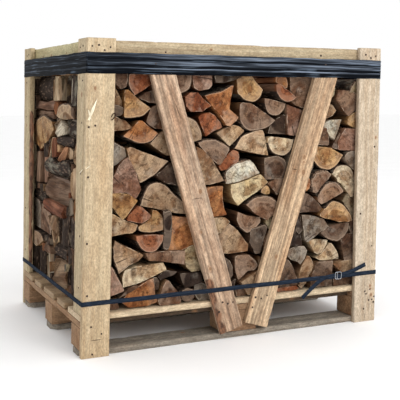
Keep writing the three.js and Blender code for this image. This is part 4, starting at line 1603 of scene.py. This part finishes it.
# Logs seen at the left end, which lie across the rows' ends: tone, corners as "-y,z" in millimetres, bark run,
# bark thickness and lie. A log without a lie shows its sawn end; the rest show a side along their lie.
END_LOGS = [
    ("umber", "-342,862 -342,945 -280,954 -190,952 -140,930 -142,866 -230,856", (0, 5), 3, 4),
    ("rose", "-344,826 -342,856 -230,850 -140,860 -110,850 -114,824 -230,820", None, 0, 2),
    ("cream", "-128,860 -130,934 -100,952 -68,948 -56,862", None, 0, 86),
    ("sand", "-52,862 -62,948 -20,952 10,862", None, 0, 84),
    ("olive", "14,864 -14,952 54,954 64,900 56,862", None, 0, 66),
    ("stone", "60,850 70,940 150,950 232,930 236,852 140,842", (0, 5), 3, 88),
    ("sand", "-48,804 -20,838 50,850 120,842 158,806 156,796 50,792 -20,794", (0, 4), 8),
    ("honey", "-383,747 -328,776 -224,801 -110,783 -80,750 -160,704 -279,663 -376,688", (0, 3), 9),
    ("stone", "-80,768 -4,790 68,764 53,736 -35,723", None, 0, 20),
    ("ash", "72,736 70,790 165,790 250,780 250,730 160,728", (0, 5), 3, 0),
    ("cream", "-102,716 -88,718 -150,622 -170,620", None, 0, 60),
    ("walnut", "-40,700 -24,722 70,728 164,724 160,694 50,690", (0, 4), 3, 3),
    ("amber", "-52,640 32,690 80,690 52,648 -7,625", None, 0, 30),
    ("umber", "-164,582 -160,620 -100,640 -20,622 54,640 135,634 132,580 40,574 -60,574", (0, 7), 3, 2),
    ("clay", "-332,530 -330,646 -276,652 -272,528", None, 0, 88),
    ("rose", "-268,528 -266,650 -214,644 -212,532", None, 0, 92),
    ("umber", "-208,560 -208,648 -172,616 -170,566", None, 0, 84),
    ("clay", "-216,480 -208,552 -140,572 -20,570 80,568 134,560 130,480 40,470 -60,470", None, 0, 3),
    ("ash", "-411,455 -402,492 -320,500 -240,492 -232,456 -320,447", (0, 5), 3, 1),
    ("umber", "-411,506 -411,655 -342,655 -338,506", (0, 3), 3, 90),
    ("rust", "-220,428 -216,466 -80,468 63,464 60,424 -80,420", None, 0, -2),
    ("tan", "-152,405 -41,420 -12,358 -59,321 -104,377", None, 0, 40),
    ("cream", "-120,357 -108,372 -65,325 -98,288", None, 0, -50),
    ("walnut", "-8,350 -20,416 70,420 118,460 124,330 60,320 0,320", (0, 5), 4, 80),
    ("ash", "-411,340 -408,442 -295,440 -285,335", (0, 3), 4),
    ("clay", "-280,335 -285,438 -165,420 -130,385 -140,330", (1, 3), 4),
    ("tan", "-408,271 -342,318 -237,322 -187,303 -290,263", (0, 3), 4),
    ("umber", "-419,160 -416,256 -325,258 -320,156", (0, 3), 3, 80),
    ("walnut", "-316,156 -320,256 -230,258 -222,200 -230,156", (0, 3), 3, 96),
    ("stone", "-220,249 -123,258 -91,247 -126,150 -208,150", None, 0, 90),
    ("tan", "-82,160 -61,250 20,258 102,252 104,156 0,150", None, 0, 12),
    ("umber", "-75,264 -80,312 10,316 102,310 104,262 -20,262", (0, 5), 3, 0),
    ("clay", "-184,262 -180,298 -104,286 -94,262", None, 0, 4),
    ("tan", "-411,690 -411,730 -386,738 -380,690", None, 0, 88),
    ("clay", "-411,792 -408,818 -230,814 -110,816 -70,800 -110,788 -220,806 -330,782", None, 0, 0),
]


def lay_end(name, finishes, seed, hand, shuffle):
    """Build the logs that lie across one end of the stack."""
    low, high = node_box("log_row_middle")
    back = node_box("log_row_back")[1][1] / MM
    front, bottom, top = node_box("log_row_front")[0][1] / MM, low[2] / MM, high[2] / MM
    outer = abs(low[0]) / MM
    edge = np.array([-back, bottom]), np.array([-front, top])
    zone = [[(edge[0][0], bottom), (edge[1][0], bottom), (edge[1][0], top), (edge[0][0], top)]]
    chance = np.random.default_rng(seed)
    names = list(TONES)[1:12]
    turn = Matrix(((0, 1, 0, 0), (-1, 0, 0, 0), (0, 0, 1, 0), (0, 0, 0, 1)))
    place = turn if hand == "left" else Matrix.Diagonal((-1, 1, 1, 1)) @ turn
    heap = Heap(LOG_ATTRIBUTES)
    for i, (outline, flags, pith, radius, tone, thick, lie) in enumerate(
        make_logs(END_LOGS, *edge, zone, 10.0, seed, spare=90.0)
    ):
        tone = names[int(chance.integers(len(names)))] if shuffle else tone
        inner = FRONT_REACH if outline[:, 0].max() > END_FRONT else END_REACH
        depth = (-outer + chance.uniform(1.0, 24.0), -inner + chance.uniform(-6.0, 3.0))
        add_log(heap, outline, flags, pith, radius, tone, seed * 1000 + i, depth, thick, place, (2.0, 2.0), lie)
    settle(heap.piece(name, finishes), "split_log", "log_row_front", "log_row_middle", "log_row_back")


def log_finishes():
    """End grain, split face and bark, made once and shared by every log."""
    names = ("log_end_grain", "log_split_face", "log_bark")
    makers = (end_grain, split_face, bark_skin)
    return [bpy.data.materials.get(name) or maker(name) for name, maker in zip(names, makers)]


class FIREWOOD_OT_log_rows(bpy.types.Operator):
    """Stack the three rows of split logs"""

    bl_idname = "firewood.log_rows"
    bl_label = "Log rows"

    def execute(self, context):
        settings = context.scene.crate_logs
        finishes = log_finishes()
        seed = settings.seed
        front, middle, back = row_logs(seed, FRONT_REACH), row_logs(seed + 1, END_REACH), row_logs(seed + 2, END_REACH)
        lay_row("logs_front", "log_row_front", front, finishes, settings, seed, -1)
        lay_row("logs_middle", "log_row_middle", middle, finishes, settings, seed + 1, -1, True, True)
        lay_row("logs_back", "log_row_back", back, finishes, settings, seed + 2, 1, False, True)
        lay_end("logs_left_end", finishes, seed + 3, "left", False)
        lay_end("logs_right_end", finishes, seed + 4, "right", True)
        return {"FINISHED"}


LOOSE_SHAPES = [
    ([(-0.5, 0), (0.5, 0), (0.47, 0.5), (0.28, 0.88), (0, 1), (-0.28, 0.88), (-0.47, 0.5)], (1, 6), 5),
    ([(-0.5, 0), (0.5, 0), (0.44, 0.42), (0.2, 0.76), (-0.16, 0.96), (-0.48, 1)], (1, 5), 5),
    ([(-0.5, 0), (0.5, 0), (0.42, 0.4), (-0.06, 1), (-0.24, 0.9)], None, 0),
    ([(-0.5, 0), (0.44, 0), (0.5, 0.7), (0.1, 1), (-0.48, 0.84)], (2, 4), 4),
]


class FIREWOOD_OT_loose_logs(bpy.types.Operator):
    """Lay the loose logs on top of the stack"""

    bl_idname = "firewood.loose_logs"
    bl_label = "Loose logs"

    def execute(self, context):
        finishes = log_finishes()
        heap = Heap(LOG_ATTRIBUTES)
        nodes = sorted(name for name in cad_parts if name.startswith("loose_log"))
        tones = ("sand", "amber", "tan", "clay", "honey", "rose", "cream")
        for i, name in enumerate(nodes):
            low, high = node_box(name)
            low, high = low / MM, high / MM
            size = high - low
            kind = 0 if size[2] < 0.62 * size[0] else 1 if i % 3 == 0 else 2 + i % 2
            shape, bark, thick = LOOSE_SHAPES[kind]
            chance = np.random.default_rng(400 + i)
            inset = min(size[0], size[2]) * 0.03
            middle, wide, tall = (low[0] + high[0]) / 2, size[0] - inset, size[2] - inset
            corners = [(middle + x * wide, low[2] + z * tall) for x, z in shape]
            outline, flags = log_outline(corners, bark, chance)
            pith, radius = find_pith(outline, flags, chance)
            depth = (low[1] + 4, high[1] - 2)
            add_log(heap, outline, flags, pith, radius, tones[i % len(tones)], 500 + i, depth, thick)
        settle(heap.piece("logs_loose", finishes), "bark_log", *nodes)
        return {"FINISHED"}


# ---------------------------------------------------------------- film and strap


def round_path(half_x, half_y, corner, step):
    """Points and outward directions round a rectangle with rounded corners, from the middle of the front."""
    places, ways = [], []
    sides = [((0, -1), (1, 0)), ((1, 0), (0, 1)), ((0, 1), (-1, 0)), ((-1, 0), (0, -1))]
    for (ox, oy), (tx, ty) in sides:
        reach = (half_x if tx else half_y) - corner
        count = max(2, round(2 * reach / step))
        for t in np.linspace(-reach, reach, count):
            places.append((ox * half_x + tx * t, oy * half_y + ty * t))
            ways.append((ox, oy))
        middle = ((ox + tx) * (half_x - corner), (oy + ty) * (half_y - corner))
        start = math.atan2(oy, ox)
        for part in (0.25, 0.5, 0.75):
            angle = start + part * math.pi / 2
            way = (math.cos(angle), math.sin(angle))
            places.append((middle[0] + way[0] * corner, middle[1] + way[1] * corner))
            ways.append(way)
    return np.array(places), np.array(ways)


# How far the film's and the strap's paths stand off the posts, and the film's width as it is held, in metres.
FILM_GAP, STRAP_GAP, HELD_WIDTH = 0.0006, 0.0008, 0.073

# Pulled creases: place and width as shares of the film's width, height, wander up and down, and phase.
CREASES = (
    (0.08, 0.030, 1.0, 0.030, 0.4),
    (0.24, 0.022, 0.6, 0.050, 2.1),
    (0.42, 0.035, 0.8, 0.060, 4.0),
    (0.61, 0.020, 0.7, 0.055, 1.2),
    (0.78, 0.030, 0.9, 0.045, 5.3),
    (0.93, 0.026, 1.0, 0.025, 3.3),
)


class FIREWOOD_OT_film(bpy.types.Operator):
    """Pull the black stretch film round the crate's top"""

    bl_idname = "firewood.film"
    bl_label = "Film band"

    def execute(self, context):
        settings = context.scene.crate_film
        finish = stretch_film("film_black", settings.colour)
        bottom, top = (corner[2] for corner in node_box("film_band"))
        low, high = node_box("post_front_right_face")
        path, out = round_path(high[0] + FILM_GAP, -low[1] + FILM_GAP, 0.003, 0.006)
        steps = np.linalg.norm(np.roll(path, -1, axis=0) - path, axis=1)
        along = np.concatenate(([0.0], np.cumsum(steps)[:-1]))
        loop = steps.sum()
        rows = np.linspace(0, 1, 19)
        turn = along / loop * 2 * math.pi
        s, t = np.meshgrid(turn, rows, indexing="ij")
        creases = np.zeros_like(s)
        for place, width, height, wander, phase in CREASES:
            middle = place + wander * np.sin(s * 3 + phase) + 0.4 * wander * np.sin(s * 11 + 2 * phase)
            fade = 0.55 + 0.45 * np.sin(s * 5 + phase * 3)
            creases += height * fade * np.exp(-(((t - middle) / width) ** 2))
        proud = 0.0002 + settings.crease * np.clip(creases, 0, 1.7)
        ripple_top = 0.0022 * (0.5 + 0.5 * np.sin(turn * 9 + 1) * np.sin(turn * 23))
        ripple_low = 0.0026 * (0.5 + 0.5 * np.sin(turn * 7 + 3) * np.sin(turn * 17 + 1))
        floor = bottom + ripple_low
        tall = (top - ripple_top) - floor
        z = floor[:, None] + tall[:, None] * t

        def skin(lift):
            """One face of the film, lifted off its path."""
            flat = path[:, None] + out[:, None] * lift[..., None]
            return np.concatenate([flat, z[..., None]], axis=-1).reshape(-1, 3)

        count, up = s.shape
        points = np.concatenate([skin(proud), skin(proud * 0.75 - 0.0001)])
        faces = []
        shift = count * up
        for i in range(count):
            a, b = i * up, ((i + 1) % count) * up
            for j in range(up - 1):
                faces.append((a + j, b + j, b + j + 1, a + j + 1))
                faces.append((shift + a + j, shift + a + j + 1, shift + b + j + 1, shift + b + j))
            faces.append((a + up - 1, b + up - 1, shift + b + up - 1, shift + a + up - 1))
            faces.append((b, a, shift + a, shift + b))
        band = np.stack([np.repeat(along, up), np.tile(rows * HELD_WIDTH, count), np.zeros(shift)], -1)
        heap = Heap({"band": "FLOAT_VECTOR"})
        heap.add(points, faces, [0] * len(faces), {"band": np.concatenate([band, band])})
        film = settle(heap.piece("film_pulled", [finish], 60.0), "film", "film_band")
        return {"FINISHED"}


# The strap's free ends beside the buckle, as (x, z) in millimetres on the front.
STRAP_TAILS = [[(405, 197), (352, 189), (305, 160), (258, 124)], [(436, 198), (480, 206), (515, 217), (547, 229)]]


def strap_rise(x):
    """How much higher the strap runs at a place along the crate than at its left end."""
    return 0.008 * (0.5 + x / 1.2)


class FIREWOOD_OT_strap(bpy.types.Operator):
    """Tension the strap round the crate's foot and close its wire buckle"""

    bl_idname = "firewood.strap"
    bl_label = "Strap and buckle"

    def execute(self, context):
        settings = context.scene.crate_strap
        finish = woven_strap("strap_blue_black", settings.colour)
        low, high = node_box("post_front_right_face")
        out_x, out_y = high[0] + STRAP_GAP, -low[1] + STRAP_GAP
        curve = bpy.data.curves.new("strap_path", "CURVE")
        curve.dimensions = "3D"
        low, high = node_box("strap_buckle")
        middle = (low[2] + high[2]) / 2
        path, _ = round_path(out_x, out_y, 0.0022, 0.02)
        spline = curve.splines.new("POLY")
        spline.points.add(len(path) - 1)
        spline.use_cyclic_u = True
        for point, (x, y) in zip(spline.points, path):
            point.co = (x, y, middle + strap_rise(x), 1)
        for tail in STRAP_TAILS:
            route = curve_through(np.array(tail) * MM, 0.006)
            spline = curve.splines.new("POLY")
            spline.points.add(len(route) - 1)
            for i, (point, (x, z)) in enumerate(zip(spline.points, route)):
                point.co = (x, -out_y - 0.0011 - 0.0004 * (i / len(route)), z, 1)
        strap = new_object("strap", curve)
        values = {"Width": settings.width, "Thickness": settings.thickness, "Finish": finish}
        values |= {"Step": 0.004, "Ripple": 0.0006}
        settle(run_tree(strap, strap_tree(), values), "strap", "strap")

        steel = plain_steel("buckle_wire", settings.steel, 0.28)
        wire = (high[1] - low[1]) * 0.6
        y = (low[1] + high[1]) / 2
        centre = (low + high) / 2
        centre[2] += strap_rise(centre[0]) + 0.003
        half_x, half_z = (high[0] - low[0]) * 0.54, (high[2] - low[2]) * 0.56
        loop = []
        for i in range(36):
            angle = 2 * math.pi * i / 36
            ca, sa = math.cos(angle), math.sin(angle)
            loop.append((
                centre[0] + math.copysign(abs(ca) ** 0.4, ca) * half_x,
                y,
                centre[2] + math.copysign(abs(sa) ** 0.4, sa) * half_z,
            ))
        points, faces = tube_along(loop, wire, 10)
        bar = [(centre[0] - half_x * 0.35, y, centre[2] + part * half_z) for part in (-1, -0.5, 0, 0.5, 1)]
        more, ends = tube_along(bar, wire * 0.9, 10, closed=False)
        faces += [tuple(i + len(points) for i in face) for face in ends]
        settle(plain_piece("buckle_wire_frame", points + more, faces, steel), "steel_wire", "strap_buckle")
        return {"FINISHED"}


class FIREWOOD_OT_trims(bpy.types.Operator):
    """Add the splinters that stand off the posts and a bent nail"""

    bl_idname = "firewood.trims"
    bl_label = "Splinters and bent nail"

    def execute(self, context):
        face_y = node_box("post_front_left_face")[0][1]
        side_x = node_box("post_front_left_side")[0][0]
        raw = sawn_wood("raw_splinter", (248, 238, 214), (236, 222, 190), 0.0, 0.3, 0.0)
        heap = Heap(BOARD_ATTRIBUTES)
        for start, end, width in (
            ((-0.590, face_y, 0.800), (-0.563, face_y - 0.004, 0.872), 0.010),
            ((-0.592, face_y, 0.834), (-0.581, face_y - 0.003, 0.796), 0.006),
            ((-0.596, face_y, 0.640), (-0.580, face_y - 0.003, 0.652), 0.004),
            ((side_x, -0.366, 0.622), (side_x - 0.006, -0.422, 0.640), 0.005),
        ):
            start, end = np.array(start), np.array(end)
            run = (end - start) / np.linalg.norm(end - start)
            on_face = start[1] <= face_y + 1e-6
            side = np.cross(run, (0, 1, 0) if on_face else (1, 0, 0))
            lift = np.array((0, -0.0012, 0) if on_face else (-0.0012, 0, 0))
            middle = (start + end) / 2
            points = [start - side * width * 0.3, start + side * width * 0.3, middle + side * width / 2, end]
            points += [middle - side * width / 2, start + lift, middle + lift * 2]
            faces = [(5, 0, 1), (6, 5, 1, 2), (6, 2, 3), (6, 3, 4), (6, 4, 0, 5), (4, 3, 2, 1, 0)]
            far = repeat((40.0, 40.0, 12.0), 7)
            values = {"grain": np.array(points) * 0.3, "knot": far, "crack": repeat((0, 60, 9), 7)}
            values |= {"tint": repeat((1, 1, 1, 1), 7), "edge": repeat(0.02, 7), "wane": repeat(0, 7)}
            heap.add(points, faces, [0] * len(faces), values)
        settle(heap.piece("splinters", [raw]), "pine_face")

        dark = plain_steel("bent_nail_steel", context.scene.crate_boards.nail_colour, 0.6)
        loop = []
        for i in range(13):
            angle = math.radians(-110 + 300 * i / 12)
            away, up = 0.0055 * math.cos(angle), 0.0115 * math.sin(angle)
            loop.append((-0.506 + away + 0.45 * up, face_y - 0.0022, 0.812 + up))
        points, faces = tube_along(loop, 0.0017, 8, closed=False)
        settle(plain_piece("bent_nail", points, faces, dark), "steel_wire")
        return {"FINISHED"}


# ---------------------------------------------------------------- stage


def camera_matrix(place, yaw, down, roll):
    """A camera's matrix from its place and its turn from +Y, its tilt down and its roll, in degrees."""
    turn = Matrix.Rotation(math.radians(-yaw), 4, "Z")
    tilt = Matrix.Rotation(math.radians(90 - down), 4, "X")
    lean = Matrix.Rotation(math.radians(roll), 4, "Z")
    return Matrix.Translation(place) @ turn @ tilt @ lean


class FIREWOOD_OT_studio(bpy.types.Operator):
    """Set the floor, the soft lights and the camera"""

    bl_idname = "firewood.studio"
    bl_label = "Floor, light and camera"

    def execute(self, context):
        scene = context.scene
        settings = scene.crate_studio
        floor_finish, g, shader = material("studio_floor", 0.85, specular=0.2)
        place = g.place()
        mottle = g.noise(place, 3.0, scale=3.0)
        base = tuple(settings.floor)
        darker = tuple(0.98 * part for part in base[:3]) + (1.0,)
        g.feed(shader["Base Color"], g.mix(g.span(mottle, 0.3, 0.7), darker, base))
        mesh = bpy.data.meshes.new("studio_floor")
        mesh.from_pydata([(-30, -30, 0), (30, -30, 0), (30, 30, 0), (-30, 30, 0)], [], [(0, 1, 2, 3)])
        mesh.materials.append(floor_finish)
        floor = new_object("studio_floor", mesh)

        world = bpy.data.worlds.new("studio_room")
        scene.world = world
        world.use_nodes = True
        world.node_tree.nodes["Background"].inputs[0].default_value = (1.0, 1.0, 1.0, 1.0)
        world.node_tree.nodes["Background"].inputs[1].default_value = settings.sky

        box = np.array(CAD_BOX, dtype=float)
        centre = Vector(box.mean(axis=0))
        for name, offset, size, power in (
            ("key_light", (0.7, -4.0, 2.2), 2.6, settings.key),
            ("fill_light", (3.4, -2.4, 1.6), 2.4, settings.fill),
            ("back_light", (0.6, 3.4, 2.8), 2.4, settings.fill),
        ):
            data = bpy.data.lights.new(name, "AREA")
            data.shape = "DISK"
            data.size = size
            data.energy = power
            light = new_object(name, data)
            light.location = centre + Vector(offset)
            light.rotation_euler = (centre - light.location).to_track_quat("-Z", "Y").to_euler()

        data = bpy.data.cameras.new("studio_camera")
        data.lens = settings.lens
        data.sensor_width = 36.0
        data.shift_y = -0.10
        data.clip_end = 100.0
        camera = new_object("studio_camera", data)
        camera.matrix_world = camera_matrix((-1.4052, -3.0064, 0.8846), 25.471, 4.519, 0.457)
        scene.camera = camera
        scene.view_settings.view_transform = "Standard"
        return {"FINISHED"}


class FIREWOOD_PT_panel(bpy.types.Panel):
    """The crate's pieces, in the order they are made"""

    bl_idname = "FIREWOOD_PT_panel"
    bl_label = "Firewood Crate"
    bl_space_type = "VIEW_3D"
    bl_region_type = "UI"
    bl_category = "Firewood"

    def draw(self, context):
        for operator in OPERATORS:
            self.layout.operator(operator.bl_idname)
        for name, group in SETTINGS.items():
            box = self.layout.box()
            for label in group.__annotations__:
                box.prop(getattr(context.scene, name), label)


OPERATORS = (
    FIREWOOD_OT_studio,
    FIREWOOD_OT_pallet,
    FIREWOOD_OT_posts,
    FIREWOOD_OT_braces,
    FIREWOOD_OT_nails,
    FIREWOOD_OT_trims,
    FIREWOOD_OT_log_rows,
    FIREWOOD_OT_loose_logs,
    FIREWOOD_OT_film,
    FIREWOOD_OT_strap,
)


def register():
    """Register the settings, the operators and the panel."""
    for name, group in SETTINGS.items():
        bpy.utils.register_class(group)
        setattr(bpy.types.Scene, name, bpy.props.PointerProperty(type=group))
    for operator in OPERATORS:
        bpy.utils.register_class(operator)
    bpy.utils.register_class(FIREWOOD_PT_panel)


def unregister():
    """Remove everything that register added."""
    bpy.utils.unregister_class(FIREWOOD_PT_panel)
    for operator in reversed(OPERATORS):
        bpy.utils.unregister_class(operator)
    for name, group in SETTINGS.items():
        delattr(bpy.types.Scene, name)
        bpy.utils.unregister_class(group)


def main():
    """Make every piece in order."""
    register()
    for operator in OPERATORS:
        family, name = operator.bl_idname.split(".")
        getattr(getattr(bpy.ops, family), name)()


if __name__ == "__main__":
    main()
